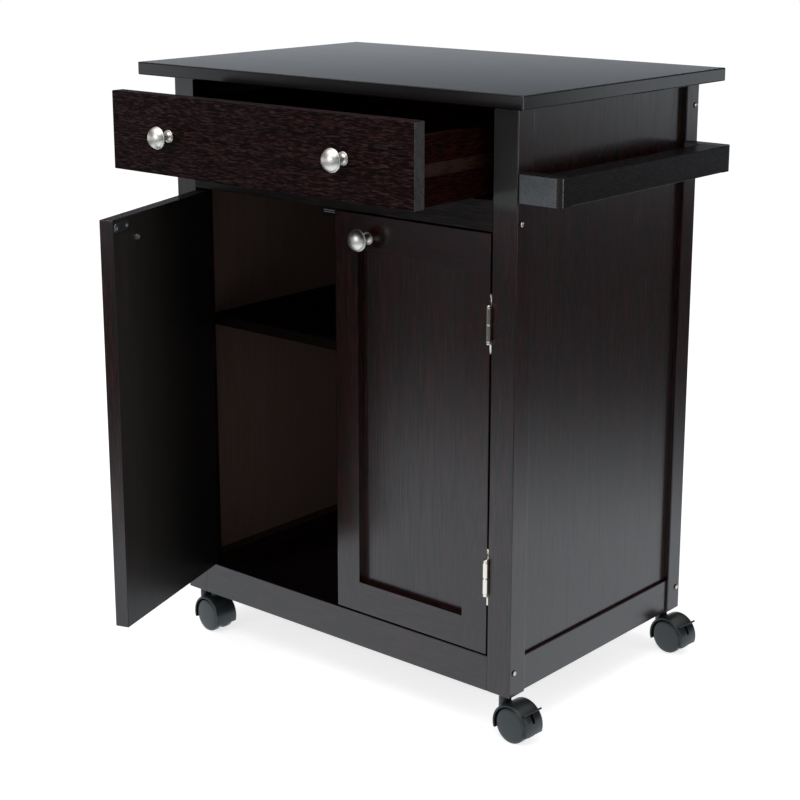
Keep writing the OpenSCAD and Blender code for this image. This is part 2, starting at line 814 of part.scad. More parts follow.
module door_knob() {
    color(bright_metal) translate([door_knob_x, 0, door_knob_z]) rotate([90, 0, 0]) knob();
}

// ---- Drawer, drawn closed; in_drawer() pulls it out

module in_drawer() { translate([0, -drawer_out, 0]) children(); }
module in_each_knob_place() {
    for (x = [-drawer_knob_x, drawer_knob_x])
        translate([x, 0, drawer_low_z + drawer_front_h / 2]) children();
}

drawer_inner_x = drawer_side_x - drawer_board_t;
drawer_rear_y = drawer_front_t + drawer_l;
drawer_bottom_z = drawer_low_z + drawer_bottom_lift;
drawer_groove = drawer_board_t / 2 - 1;

module drawer_bottom_body(gap = 0) {
    span([-drawer_inner_x - drawer_groove - gap, drawer_front_t - drawer_groove - gap,
            drawer_bottom_z - gap],
        [drawer_inner_x + drawer_groove + gap, drawer_rear_y + (gap > 0 ? eps : 0),
            drawer_bottom_z + drawer_bottom_t + gap]);
}

module drawer_front() {
    front_x = inner_x - drawer_side_gap;
    in_drawer() color(wood) difference() {
        span([-front_x, 0, drawer_low_z], [front_x, drawer_front_t, drawer_top_z]);
        drawer_bottom_body(panel_gap);
        in_each_knob_place() translate([0, -eps, 0])
            rod_y(knob_screw_r + press_gap, drawer_front_t + 2 * eps);
    }
}

module drawer_side(side) {
    in_drawer() color(inner_wood) on_side(side) difference() {
        span([drawer_inner_x, drawer_front_t, drawer_low_z],
            [drawer_side_x, drawer_rear_y, drawer_side_top_z]);
        span([drawer_side_x - runner_bite - runner_gap, drawer_front_t - eps,
                runner_mid_z - runner_h / 2 - runner_gap],
            [drawer_side_x + eps, drawer_rear_y + eps, runner_mid_z + runner_h / 2 + runner_gap]);
        drawer_bottom_body(panel_gap);
    }
}
module drawer_left_side() { drawer_side(-1); }
module drawer_right_side() { drawer_side(1); }

module drawer_back() {
    in_drawer() color(inner_wood)
        span([-drawer_inner_x, drawer_rear_y - drawer_board_t, drawer_bottom_z + drawer_bottom_t],
            [drawer_inner_x, drawer_rear_y, drawer_side_top_z]);
}
module drawer_bottom() { in_drawer() color(inner_wood) drawer_bottom_body(); }

module drawer_knobs() {
    in_drawer() color(bright_metal) in_each_knob_place() rotate([90, 0, 0]) knob();
}
module drawer_knob_screws() {
    in_drawer() color(bright_metal) in_each_knob_place()
        translate([0, drawer_front_t, 0]) knob_screw(drawer_front_t);
}

// ---- Casters, drawn about their own stem, with the wheels trailing along +X

axle_z = wheel_r - caster_h;
hood_in_r = wheel_r + hood_gap;
hood_out_r = hood_in_r + hood_t;
boss_top_z = axle_z + 21.5;
stem_low_z = axle_z + 3;
stem_socket_flange = 1;

// Where each caster stands: X and Y of its stem and the angle it is turned by
caster_x = half_w - stem_inset_x;
front_caster_y = stem_inset_y;
rear_caster_y = carcass_d - stem_inset_y;
casters = [[-caster_x, front_caster_y, front_left_yaw], [caster_x, front_caster_y, front_right_yaw],
    [-caster_x, rear_caster_y, rear_left_yaw], [caster_x, rear_caster_y, rear_right_yaw]];

module at_caster(i) {
    translate([casters[i][0], casters[i][1], base_z]) rotate([0, 0, casters[i][2]]) children();
}

// Flat outline in the wheels' plane, given a width across the caster
module across(w) {
    translate([trail, 0, axle_z]) rotate([90, 0, 0]) linear_extrude(w, center = true) children();
}

module above(z) { translate([-hood_out_r, z]) square([2 * hood_out_r, 2 * hood_out_r]); }

// The way of the brake lever's arm through web and shell
slot_reach = 2 * hood_out_r;
slot_low_a = lever_angle - 24;
slot_high_a = lever_angle + 14;
module lever_slot() {
    across(slot_w) intersection() {
        difference() { circle(hood_out_r + 1); circle(pivot_reach - 6); }
        polygon([[0, 0], slot_reach * [cos(slot_low_a), sin(slot_low_a)],
            slot_reach * [cos(slot_high_a), sin(slot_high_a)]]);
    }
}

module caster_hood(braked) {
    color(caster_grey) difference() {
        union() {
            across(hood_w) intersection() {
                difference() { circle(hood_out_r); circle(hood_in_r); }
                above(-hood_skirt);
            }
            across(web_w) {
                intersection() { circle(hood_in_r + eps); above(-hood_skirt); }
                circle(hood_skirt + 2);
            }
            translate([0, 0, stem_low_z]) cylinder(r = web_w / 2, h = boss_top_z - stem_low_z);
        }
        translate([0, 0, stem_low_z - 2]) cylinder(r = stem_r + run_gap, h = caster_h);
        translate([0, 0, boss_top_z]) cylinder(r = stem_r + 2.5, h = caster_h);
        translate([trail, -hood_w / 2, axle_z]) rod_y(axle_r + press_gap, hood_w);
        if (braked) {
            lever_slot();
            at_pivot() translate([0, -lever_pin_l / 2, 0]) rod_y(lever_pin_r + press_gap, lever_pin_l);
        }
    }
    color(bright_metal) translate([trail, -axle_l / 2, axle_z]) rod_y(axle_r, axle_l);
    if (braked) color(bright_metal) at_pivot() translate([0, -lever_pin_l / 2 + press_gap, 0])
        rod_y(lever_pin_r, lever_pin_l - 2 * press_gap);
}

wheel_skin = 1.6;
axle_l = web_w + 2 * (wheel_gap + wheel_w - wheel_skin - face_gap);
lever_pin_l = web_w - 1.6;
module at_pivot() {
    translate([trail, 0, axle_z]) rotate([0, -lever_angle, 0]) translate([pivot_reach, 0, 0]) children();
}

// One of a caster's two wheels, with a blind bore for the axle; side is -1 or 1 along Y
module wheel(side) {
    color("#4a5153") translate([trail, 0, axle_z]) rotate([-90 * side, 0, 0])
        translate([0, 0, web_w / 2 + wheel_gap]) difference() {
            rotate_extrude() polygon([[0, 0], [wheel_r - 0.8, 0], [wheel_r, 0.8],
                [wheel_r, wheel_w - 2], [wheel_r - 2, wheel_w], [0, wheel_w]]);
            translate([0, 0, -eps]) cylinder(r = axle_r + run_gap, h = wheel_w - wheel_skin + eps);
        }
}

// Arm that turns on its pin inside the slot, and the pedal outside the shell
module brake_lever() {
    arm_w = slot_w - 2 * face_gap;
    pedal_start = hood_out_r + 0.8 - pivot_reach;
    color(caster_grey) at_pivot() difference() {
        union() {
            translate([0, -arm_w / 2, 0]) rod_y(lever_pin_r + 1.8, arm_w);
            span([0, -arm_w / 2, -lever_t / 2], [pedal_start + eps, arm_w / 2, lever_t / 2]);
            span([pedal_start, -lever_w / 2, -lever_t / 2],
                [pedal_start + lever_reach, lever_w / 2, lever_t / 2]);
        }
        translate([0, -arm_w, 0]) rod_y(lever_pin_r + run_gap, 2 * arm_w);
    }
}

module caster_sockets() {
    color(bright_metal) for (i = [0:3]) at_caster(i) difference() {
        union() {
            cylinder(r = socket_r, h = socket_l);
            translate([0, 0, -stem_socket_flange]) cylinder(r = socket_r + 2, h = stem_socket_flange);
        }
        translate([0, 0, -stem_socket_flange - eps])
            cylinder(r = stem_r + press_gap, h = socket_l + stem_socket_flange + 2 * eps);
    }
}

module caster_stems() {
    collar_h = 1.2;
    color(bright_metal) for (i = [0:3]) at_caster(i) {
        translate([0, 0, stem_low_z]) cylinder(r = stem_r, h = socket_l - 2 - stem_low_z);
        translate([0, 0, boss_top_z + face_gap]) cylinder(r = stem_r + 1.5, h = collar_h);
    }
}

module front_left_caster_hood() { at_caster(0) caster_hood(false); }
module front_right_caster_hood() { at_caster(1) caster_hood(true); }
module rear_left_caster_hood() { at_caster(2) caster_hood(false); }
module rear_right_caster_hood() { at_caster(3) caster_hood(true); }
module front_left_outer_wheel() { at_caster(0) wheel(-1); }
module front_left_inner_wheel() { at_caster(0) wheel(1); }
module front_right_outer_wheel() { at_caster(1) wheel(-1); }
module front_right_inner_wheel() { at_caster(1) wheel(1); }
module rear_left_outer_wheel() { at_caster(2) wheel(1); }
module rear_left_inner_wheel() { at_caster(2) wheel(-1); }
module rear_right_outer_wheel() { at_caster(3) wheel(1); }
module rear_right_inner_wheel() { at_caster(3) wheel(-1); }
module front_right_brake_lever() { at_caster(1) brake_lever(); }
module rear_right_brake_lever() { at_caster(3) brake_lever(); }

in_frame() top_board();
in_frame() front_left_post();
in_frame() front_right_post();
in_frame() rear_left_post();
in_frame() rear_right_post();
in_frame() left_side_panel();
in_frame() right_side_panel();
in_frame() left_bottom_rail();
in_frame() right_bottom_rail();
in_frame() front_bottom_rail();
in_frame() rear_bottom_rail();
in_frame() rear_top_rail();
in_frame() divider_rail();
in_frame() back_panel();
in_frame() bottom_panel();
in_frame() shelf();
in_frame() shelf_pins();
in_frame() drawer_runners();
in_frame() top_cleats();
in_frame() towel_bar();
in_frame() towel_bar_arms();
in_frame() frame_bolts();
in_frame() magnetic_catches();
in_frame() post_hinges();
in_frame() carcass_screws();
in_frame() caster_sockets();
in_frame() caster_stems();
in_frame() drawer_front();
in_frame() drawer_left_side();
in_frame() drawer_right_side();
in_frame() drawer_back();
in_frame() drawer_bottom();
in_frame() drawer_knobs();
in_frame() drawer_knob_screws();
in_frame() left_door_frame();
in_frame() left_door_panel();
in_frame() left_door_knob();
in_frame() left_door_strike_plate();
in_frame() left_door_hinges();
in_frame() left_door_screws();
in_frame() right_door_frame();
in_frame() right_door_panel();
in_frame() right_door_knob();
in_frame() right_door_strike_plate();
in_frame() right_door_hinges();
in_frame() right_door_screws();
in_frame() front_left_caster_hood();
in_frame() front_right_caster_hood();
in_frame() rear_left_caster_hood();
in_frame() rear_right_caster_hood();
in_frame() front_left_outer_wheel();
in_frame() front_left_inner_wheel();
in_frame() front_right_outer_wheel();
in_frame() front_right_inner_wheel();
in_frame() rear_left_outer_wheel();
in_frame() rear_left_inner_wheel();
in_frame() rear_right_outer_wheel();
in_frame() rear_right_inner_wheel();
in_frame() front_right_brake_lever();
in_frame() rear_right_brake_lever();
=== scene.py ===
import math

import bmesh
import bpy
from mathutils import Matrix, Vector


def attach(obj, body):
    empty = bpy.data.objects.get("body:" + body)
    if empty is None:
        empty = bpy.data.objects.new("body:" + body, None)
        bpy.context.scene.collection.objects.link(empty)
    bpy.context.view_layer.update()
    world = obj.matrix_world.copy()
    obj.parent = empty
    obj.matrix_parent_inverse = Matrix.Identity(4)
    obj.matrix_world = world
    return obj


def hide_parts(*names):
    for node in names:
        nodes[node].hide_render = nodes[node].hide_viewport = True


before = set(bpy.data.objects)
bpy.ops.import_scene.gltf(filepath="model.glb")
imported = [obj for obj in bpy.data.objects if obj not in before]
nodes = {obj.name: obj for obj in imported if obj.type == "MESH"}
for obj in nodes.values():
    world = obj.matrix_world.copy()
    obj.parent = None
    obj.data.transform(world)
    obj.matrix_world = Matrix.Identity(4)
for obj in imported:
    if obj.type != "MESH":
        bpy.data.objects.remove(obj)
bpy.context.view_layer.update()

# ---- Studio
# A pale seamless floor in a room that the camera sees as white. The lacquer mirrors painted tones
# instead: a pale floor near the cart, a darker floor some metres off and dim walls; soft boxes light
# the arrises.

scene = bpy.context.scene
scene.view_settings.view_transform = "Standard"


def linear(colour):
    """Linear RGBA of an sRGB hex colour."""
    parts = [int(colour[i:i + 2], 16) / 255 for i in (1, 3, 5)]
    return [c / 12.92 if c <= 0.04045 else ((c + 0.055) / 1.055) ** 2.4 for c in parts] + [1.0]


def add(tree, kind, inputs=None, stops=(), **settings):
    """Adds a shader node with its settings; an input takes a value or the socket that feeds it."""
    node = tree.nodes.new("ShaderNode" + kind)
    for name, value in settings.items():
        setattr(node, name, value)
    for name, value in (inputs or {}).items():
        if isinstance(value, bpy.types.NodeSocket):
            tree.links.new(value, node.inputs[name])
        else:
            node.inputs[name].default_value = value
    for i, (place, tone) in enumerate(stops):
        point = node.color_ramp.elements[i] if i < 2 else node.color_ramp.elements.new(place)
        point.position = place
        point.color = linear(tone) if isinstance(tone, str) else (tone, tone, tone, 1.0)
    return node


camera_data = bpy.data.cameras.new("camera")
camera_data.sensor_width = 36
camera_data.lens = 80.03
camera_data.shift_y = -0.07
camera = bpy.data.objects.new("camera", camera_data)
camera.location = (1.5804, -1.8150, 1.0885)
camera.rotation_euler = (math.radians(90 - 14.203), 0, math.radians(40.515))
scene.collection.objects.link(camera)
scene.camera = camera

WHITE = "#ffffff"
FLOOR_R = 16.0          # metres
FILL = 0.4              # what the room gives to unlit surfaces

world = bpy.data.worlds.new("white_room")
world.use_nodes = True
scene.world = world
tree = world.node_tree
path = add(tree, "LightPath")
seen = add(tree, "Math", {0: path.outputs["Is Camera Ray"], 1: path.outputs["Is Glossy Ray"]},
           operation="MAXIMUM")
seen = add(tree, "Math", {0: seen.outputs[0], 1: path.outputs["Is Transmission Ray"]},
           operation="MAXIMUM")
strength = add(tree, "MapRange", {"Value": seen.outputs[0], "To Min": FILL, "To Max": 1.0})
# Mirrored rays alone see a painted room: walls white low down and dim above, up to a lit ceiling.
place = add(tree, "TexCoord")
height = add(tree, "SeparateXYZ", {0: place.outputs["Generated"]})
walls = add(tree, "ValToRGB", {"Fac": height.outputs["Z"]}, stops=[
    (0.0, "#f3f8ff"), (1.0, "#f4f4f4"), (0.058, "#eef4fb"), (0.0765, "#d2d8de"), (0.089, "#575c62"),
    (0.11, "#414549"), (0.2, "#3e4145"), (0.5, "#5c5c5e"), (0.75, "#f0f0f0")])
walls = add(tree, "Mix", {0: path.outputs["Is Glossy Ray"], 6: linear(WHITE),
                          7: walls.outputs["Color"]}, data_type="RGBA")
tree.links.new(walls.outputs[2], tree.nodes["Background"].inputs["Color"])
tree.links.new(strength.outputs[0], tree.nodes["Background"].inputs["Strength"])

# Painted floor, matt white to the camera. Mirrored rays see a painted glow on it instead, which falls
# off with the distance from the cart, as under a studio's lamps; far off it paints pale flats with
# dark gaps between them.
floor_paint = bpy.data.materials.new("matt_white_studio_floor")
floor_paint.use_nodes = True
tree = floor_paint.node_tree
tree.nodes.remove(tree.nodes["Principled BSDF"])
path = add(tree, "LightPath")
direct = add(tree, "Math", {0: path.outputs["Is Camera Ray"], 1: path.outputs["Is Transmission Ray"]},
             operation="MAXIMUM")
place = add(tree, "TexCoord")
radius = add(tree, "VectorMath", {0: place.outputs["Object"]}, operation="LENGTH")
share = add(tree, "Math", {0: radius.outputs["Value"], 1: 0.1}, operation="MULTIPLY")
near = add(tree, "ValToRGB", {"Fac": share.outputs[0]}, stops=[
    (0.0, 1.0), (1.0, 0.05), (0.095, 1.0), (0.135, 0.48), (0.18, 0.13), (0.24, 0.07), (0.36, 0.05)])
spot = add(tree, "SeparateXYZ", {0: place.outputs["Object"]})
bearing = add(tree, "Math", {0: spot.outputs["Y"], 1: spot.outputs["X"]}, operation="ARCTAN2")
bearing = add(tree, "MapRange", {"Value": bearing.outputs[0], "From Min": -math.pi,
                                 "From Max": math.pi})
flats = add(tree, "ValToRGB", {"Fac": bearing.outputs[0]}, stops=[
    (0.0, 0.95), (1.0, 0.9), (0.1125, 0.95), (0.128, 0.15), (0.1486, 0.05), (0.1545, 0.35),
    (0.159, 1.0), (0.25, 0.6), (0.639, 0.12), (0.653, 0.95)])
beyond = add(tree, "Math", {0: spot.outputs["X"], 1: -0.35, 2: radius.outputs["Value"]},
             operation="MULTIPLY_ADD")
beyond = add(tree, "MapRange", {"Value": beyond.outputs[0], "From Min": 4.6, "From Max": 5.3})
tone = add(tree, "Mix", {0: beyond.outputs[0], 6: near.outputs["Color"],
                         7: flats.outputs["Color"]}, data_type="RGBA")
matt = add(tree, "BsdfDiffuse", {"Color": linear("#e4e4e4")})
lift = add(tree, "Emission", {"Color": linear(WHITE), "Strength": 0.72})
lifted = add(tree, "AddShader", {0: matt.outputs[0], 1: lift.outputs[0]})
plain = add(tree, "MixShader", {0: direct.outputs[0], 1: matt.outputs[0], 2: lifted.outputs[0]})
# The painted glow is a shade cooler than the floor's paint, as under daylight lamps.
cooler = add(tree, "Mix", {0: 1.0, 6: tone.outputs[2], 7: (0.98, 1.06, 1.12, 1.0)}, data_type="RGBA",
             blend_type="MULTIPLY")
mirrored = add(tree, "Emission", {"Color": cooler.outputs[2]})
floor_look = add(tree, "MixShader", {0: path.outputs["Is Glossy Ray"], 1: plain.outputs[0],
                                     2: mirrored.outputs[0]})
tree.links.new(floor_look.outputs[0], tree.nodes["Material Output"].inputs["Surface"])

bm = bmesh.new()
bmesh.ops.create_circle(bm, cap_ends=True, radius=FLOOR_R, segments=96)
floor_mesh = bpy.data.meshes.new("floor")
bm.to_mesh(floor_mesh)
bm.free()
floor_mesh.materials.append(floor_paint)
floor = bpy.data.objects.new("floor", floor_mesh)
scene.collection.objects.link(floor)

# Soft boxes: place, what it faces, width and height in metres, power in watts
SOFT_BOXES = {
    "overhead": ((0.3, -0.7, 2.7), (0, 0, 0.4), 2.2, 2.2, 30),
    "right_strip": ((2.35, 0.55, 1.0), (0, 0, 0.7), 0.45, 1.5, 8),
    "front_fill": ((0.1, -3.2, 1.55), (0, 0, 0.5), 1.8, 1.3, 22),
}
for name, (spot, target, width, height, watts) in SOFT_BOXES.items():
    lamp = bpy.data.lights.new(name, "AREA")
    lamp.shape = "RECTANGLE"
    lamp.size, lamp.size_y, lamp.energy = width, height, watts
    box = bpy.data.objects.new(name, lamp)
    box.location = spot
    box.rotation_euler = (Vector(spot) - Vector(target)).to_track_quat("Z", "Y").to_euler()
    scene.collection.objects.link(box)

# ---- Corner posts
# Four rubberwood posts, planed square, stained espresso and sprayed with satin lacquer. They carry
# the whole cart: rails are bolted between them, panels slide into their grooves.

MM = 0.001
TO_FRAME = Matrix.Scale(MM, 4) @ Matrix.Translation((-14, -86, 0))   # from the cart's own mm
ARRIS = 1.3                         # mm, the arrises sanded off every post and rail


def espresso(name, grain, turn=0.0, streak=(30, 1.3), figure=(260, 16), ground="#100404",
             warm="#1a0707", pore="#040101", sheen=(0.2, 0.26), relief=0.006, ior=1.64,
             fleck=None, painted_tone=None):
    """Stained and lacquered wood. grain is the axis it runs along, turned by turn about Z; streak and
    figure are the length and width in mm of its pores and of its broad bands; sheen is the roughness
    of the lacquer on the wood and over its pores; relief is their depth in mm; fleck is the tone of
    the pale rays between the pores, and the last argument the tone of painted light or shade that it
    turns to where the board's own attribute says so."""
    material = bpy.data.materials.new(name)
    material.use_nodes = True
    tree = material.node_tree
    shader = tree.nodes["Principled BSDF"]
    place = add(tree, "TexCoord")
    board = add(tree, "Attribute", attribute_name="board")
    waves = []
    for length, width in (streak, figure):
        size = [MM * (length if axis == grain else width) for axis in "XYZ"]
        along = add(tree, "Mapping", {"Vector": place.outputs["Object"], "Rotation": (0, 0, turn),
                                      "Scale": size}, vector_type="TEXTURE")
        waves.append(add(tree, "TexNoise", {"Vector": along.outputs[0], "W": board.outputs["Fac"],
                                            "Scale": 1.0, "Detail": 3.0, "Roughness": 0.55},
                         noise_dimensions="4D"))
    pores = add(tree, "MapRange", {"Value": waves[0].outputs["Fac"], "From Min": 0.5,
                                   "From Max": 0.62})
    bands = add(tree, "MapRange", {"Value": waves[1].outputs["Fac"], "From Min": 0.34,
                                   "From Max": 0.68})
    stain = add(tree, "Mix", {0: bands.outputs[0], 6: linear(ground), 7: linear(warm)},
                data_type="RGBA")
    if fleck:
        rays = add(tree, "MapRange", {"Value": waves[0].outputs["Fac"], "From Min": 0.49,
                                      "From Max": 0.37})
        stain = add(tree, "Mix", {0: rays.outputs[0], 6: stain.outputs[2], 7: linear(fleck)},
                    data_type="RGBA")
    colour = add(tree, "Mix", {0: pores.outputs[0], 6: stain.outputs[2], 7: linear(pore)},
                 data_type="RGBA")
    if painted_tone:
        toward = add(tree, "Attribute", attribute_name="toward")
        toward = add(tree, "MapRange", {"Value": toward.outputs["Fac"], "From Min": 0.1,
                                        "From Max": 0.8, "To Max": 0.9})
        colour = add(tree, "Mix", {0: toward.outputs[0], 6: colour.outputs[2], 7: linear(painted_tone)},
                     data_type="RGBA")
    rough = add(tree, "MapRange", {"Value": pores.outputs[0], "To Min": sheen[0],
                                   "To Max": sheen[1]})
    sunk = add(tree, "Bump", {"Height": pores.outputs[0], "Distance": relief * MM,
                              "Strength": 1.0}, invert=True)
    tree.links.new(colour.outputs[2], shader.inputs["Base Color"])
    tree.links.new(rough.outputs[0], shader.inputs["Roughness"])
    tree.links.new(sunk.outputs[0], shader.inputs["Normal"])
    shader.inputs["IOR"].default_value = ior
    return material


def merged(node, turn=None):
    """A copy of a CAD board as whole faces, in the cart's mm. Where turn is given, it takes the
    shut right door to the board's own door, and the copy is brought back by it."""
    bm = bmesh.new()
    bm.from_mesh(nodes[node].data)
    bmesh.ops.transform(bm, matrix=TO_FRAME.inverted(), verts=bm.verts)
    if turn is not None:
        bmesh.ops.transform(bm, matrix=turn.inverted(), verts=bm.verts)
        if turn.determinant() < 0:
            bmesh.ops.reverse_faces(bm, faces=bm.faces)
    bmesh.ops.remove_doubles(bm, verts=bm.verts, dist=0.004)
    bmesh.ops.dissolve_limit(bm, angle_limit=math.radians(1), verts=bm.verts, edges=bm.edges)
    return bm


def ease(bm, radius, shortest=8.0):
    """Rounds the edges that lie on two of the board's outer planes, if longer than shortest mm."""
    low = Vector([min(v.co[i] for v in bm.verts) for i in range(3)])
    high = Vector([max(v.co[i] for v in bm.verts) for i in range(3)])

    def planes(vert):
        return {(i, side) for i in range(3) for side, limit in enumerate((low, high))
                if abs(vert.co[i] - limit[i]) < 0.01}

    arrises = [e for e in bm.edges if len(planes(e.verts[0]) & planes(e.verts[1])) > 1
               and e.calc_length() > shortest and len(e.link_faces) == 2]
    bmesh.ops.bevel(bm, geom=arrises, affect="EDGES", offset=radius, offset_type="OFFSET",
                    segments=3, profile=0.5, material=-1, clamp_overlap=True)


def place_piece(name, bm, body, materials, stands_for=(), matrix=TO_FRAME, smooth=None):
    """Makes the bmesh an object in the frame that rides on a body and stands for CAD nodes."""
    if "board" not in bm.faces.layers.float:
        number = bm.faces.layers.float.new("board")
        for face in bm.faces:
            face[number] = 3.7 * len(bpy.data.meshes)
    bmesh.ops.transform(bm, matrix=matrix, verts=bm.verts)
    if matrix.determinant() < 0:
        bmesh.ops.reverse_faces(bm, faces=bm.faces)
    mesh = bpy.data.meshes.new(name)
    bm.to_mesh(mesh)
    bm.free()
    for material in materials:
        mesh.materials.append(material)
    if smooth is not None:
        mesh.shade_smooth()
        mesh.set_sharp_from_angle(angle=math.radians(smooth))
    piece = bpy.data.objects.new(name, mesh)
    scene.collection.objects.link(piece)
    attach(piece, body)
    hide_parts(*stands_for)
    return piece


RAY = "#361513"
BESIDE_DRAWER = (706, 722)      # Z over which the painted grey sheen fades in on the front posts
upright = espresso("stained_rubberwood_satin_lacquer_upright", "Z", fleck=RAY)
# From beside the drawer up, the front posts' front faces are painted grey, which stands for a sheen
# of light on their lacquer.
painted_sheen_upright = espresso("stained_rubberwood_lacquer_painted_sheen_upright", "Z", fleck=RAY, painted_tone="#313131")
for corner in ("front_left", "front_right", "rear_left", "rear_right"):
    bm = merged(corner + "_post")
    ease(bm, ARRIS)
    if corner.startswith("front"):
        for z in BESIDE_DRAWER:
            bmesh.ops.bisect_plane(bm, geom=bm.verts[:] + bm.edges[:] + bm.faces[:], dist=0.001,
                                   plane_co=(0, 0, z), plane_no=(0, 0, 1))
        toward = bm.verts.layers.float.new("toward")
        for vert in bm.verts:
            vert[toward] = 1.0 if vert.co.z > BESIDE_DRAWER[1] - 1 else 0.0
        for face in bm.faces:
            face.normal_update()
            face.material_index = 1 if face.normal.y < -0.9 else 0
    place_piece(corner + "_corner_post", bm, "carcass", [upright, painted_sheen_upright],
                [corner + "_post"])

# ---- Rails
# Rubberwood rails between the posts, stained like them, with the grain along each rail. Those at the
# front and back are bolted through the posts, and the two side rails end in tenons.

crosswise = espresso("stained_rubberwood_satin_lacquer_crosswise", "X", fleck=RAY)
lengthwise = espresso("stained_rubberwood_satin_lacquer_lengthwise", "Y", fleck=RAY)
# The divider's lacquer is duller, taken for that of wood that was sanded less.
divider_wood = espresso("stained_rubberwood_dull_lacquer_divider", "X", sheen=(0.36, 0.44),
                        ground="#0d0605", warm="#150a09", ior=1.3, fleck="#241c1b")
# The upper side of the front bottom rail, which shut doors hide, is near black and duller than the
# rest of the rail.
near_black_rail_top = espresso("stained_rubberwood_near_black_dull_edge", "X", ground="#050202",
                       warm="#080303", sheen=(0.5, 0.6), ior=1.2)
for rail, wood in (("front_bottom_rail", crosswise), ("rear_bottom_rail", crosswise),
                   ("rear_top_rail", crosswise), ("divider_rail", divider_wood),
                   ("left_bottom_rail", lengthwise), ("right_bottom_rail", lengthwise)):
    bm = merged(rail)
    ease(bm, ARRIS)
    for face in bm.faces:
        face.normal_update()
        face.material_index = 1 if rail == "front_bottom_rail" and face.normal.z > 0.9 else 0
    place_piece(rail + "_board", bm, "carcass", [wood, near_black_rail_top], [rail])

# ---- Side, back and bottom panels
# Thin veneered boards in grooves. The veneer is straight-grained and close, and the lacquer lies
# flatter on it than on the posts.

veneer = espresso("stained_veneer_satin_lacquer_upright", "Z", streak=(60, 1.4), figure=(500, 22),
                  ground="#110505", warm="#1c0a09", pore="#020101", sheen=(0.22, 0.28),
                  relief=0.002, fleck="#2e1512")
# The inner faces are a lighter, duller brown, taken for stain that is sealed but not sprayed; toward
# the back they are painted lighter still, as painted light against the shade deep in the cabinet.
inside_veneer = espresso("stained_veneer_sealed_inside_painted_light_upright", "Z", streak=(90, 1.8),
                         figure=(500, 22), ground="#4f3e38", warm="#574540", pore="#493933",
                         sheen=(0.5, 0.62), ior=1.4, painted_tone="#745f58")
flat_veneer = espresso("stained_veneer_satin_lacquer_flat", "X", streak=(90, 1.8),
                       figure=(500, 22), ground="#0a0404", warm="#100606", sheen=(0.34, 0.46),
                       ior=1.4)
CARCASS_DEPTH = 415
INWARD = {"left_side_panel": (1, 0, 0), "right_side_panel": (-1, 0, 0), "back_panel": (0, -1, 0)}
for panel, inward in INWARD.items():
    bm = merged(panel)
    for face in bm.faces:
        face.normal_update()
        face.material_index = 1 if face.normal.dot(Vector(inward)) > 0.9 else 0
    toward = bm.verts.layers.float.new("toward")      # toward the back of the cart, where the inner faces are painted lighter
    for vert in bm.verts:
        vert[toward] = vert.co.y / CARCASS_DEPTH
    place_piece(panel + "_board", bm, "carcass", [veneer, inside_veneer], [panel])
nodes["bottom_panel"].data.materials[0] = flat_veneer

# ---- Shelf
# A veneered shelf, stained and sealed. It lies loose on four steel pins, which are pressed into holes
# in the side panels.

shelf_veneer = espresso("stained_veneer_sealed_shelf", "X", streak=(90, 1.8), figure=(500, 22),
                        ground="#0a0404", warm="#100606", sheen=(0.5, 0.6), ior=1.15)
bm = merged("shelf")
ease(bm, 1.0)
place_piece("shelf_board", bm, "carcass", [shelf_veneer], ["shelf"])


def metal(name, colour, roughness, brush=0.0, grit=0.5):
    """Bare or plated metal. brush is how far its roughness varies over grit mm."""
    material = bpy.data.materials.new(name)
    material.use_nodes = True
    tree = material.node_tree
    shader = tree.nodes["Principled BSDF"]
    place = add(tree, "TexCoord")
    mottle = add(tree, "TexNoise", {"Vector": place.outputs["Object"], "Scale": 1 / (grit * MM),
                                    "Detail": 2.0})
    rough = add(tree, "MapRange", {"Value": mottle.outputs["Fac"], "From Min": 0.3,
                                   "From Max": 0.7, "To Min": roughness,
                                   "To Max": roughness + brush})
    tree.links.new(rough.outputs[0], shader.inputs["Roughness"])
    shader.inputs["Base Color"].default_value = linear(colour)
    shader.inputs["Metallic"].default_value = 1.0
    return material


zinc = metal("zinc_plated_steel", "#c2c4c6", 0.26, 0.1, 0.8)
nodes["shelf_pins"].data.materials[0] = zinc

# ---- Drawer runners and top cleats
# Planed strips: two on the posts' inner faces carry the drawer, and two along the tops of the side
# panels hold the top board.

strip_wood = espresso("stained_solid_strip_lengthwise", "Y", sheen=(0.4, 0.55))
for strip in ("drawer_runners", "top_cleats"):
    nodes[strip].data.materials[0] = strip_wood

# ---- Top board
# One veneered board with eased edges; its lacquer is smoother than the rest, so at a low angle it
# mirrors the dim walls as an even grey.

top_lacquer = espresso("stained_veneer_rubbed_lacquer_top", "X", streak=(120, 2.2),
                       figure=(600, 30), ground="#0d090a", warm="#151011", sheen=(0.12, 0.16),
                       relief=0.002, ior=1.58)
bm = merged("top_board")
ease(bm, 1.6)
place_piece("top_slab", bm, "carcass", [top_lacquer], ["top_board"])

# ---- Towel bar
# A square rubberwood bar between two short arms, glued up as one and eased all round; the arms'
# outer corners are rounded over and their inner corners are hollow.

bar_lacquer = espresso("stained_rubberwood_satin_lacquer_bar", "Y", streak=(9, 1.6),
                       ground="#060405", warm="#0b0809", pore="#020102", sheen=(0.3, 0.42),
                       relief=0.01, ior=1.25, fleck="#1f1b1c")
arm_lacquer = espresso("stained_rubberwood_satin_lacquer_arm", "X", streak=(16, 1.5),
                       ground="#0f0808", warm="#170b0b", sheen=(0.24, 0.34))
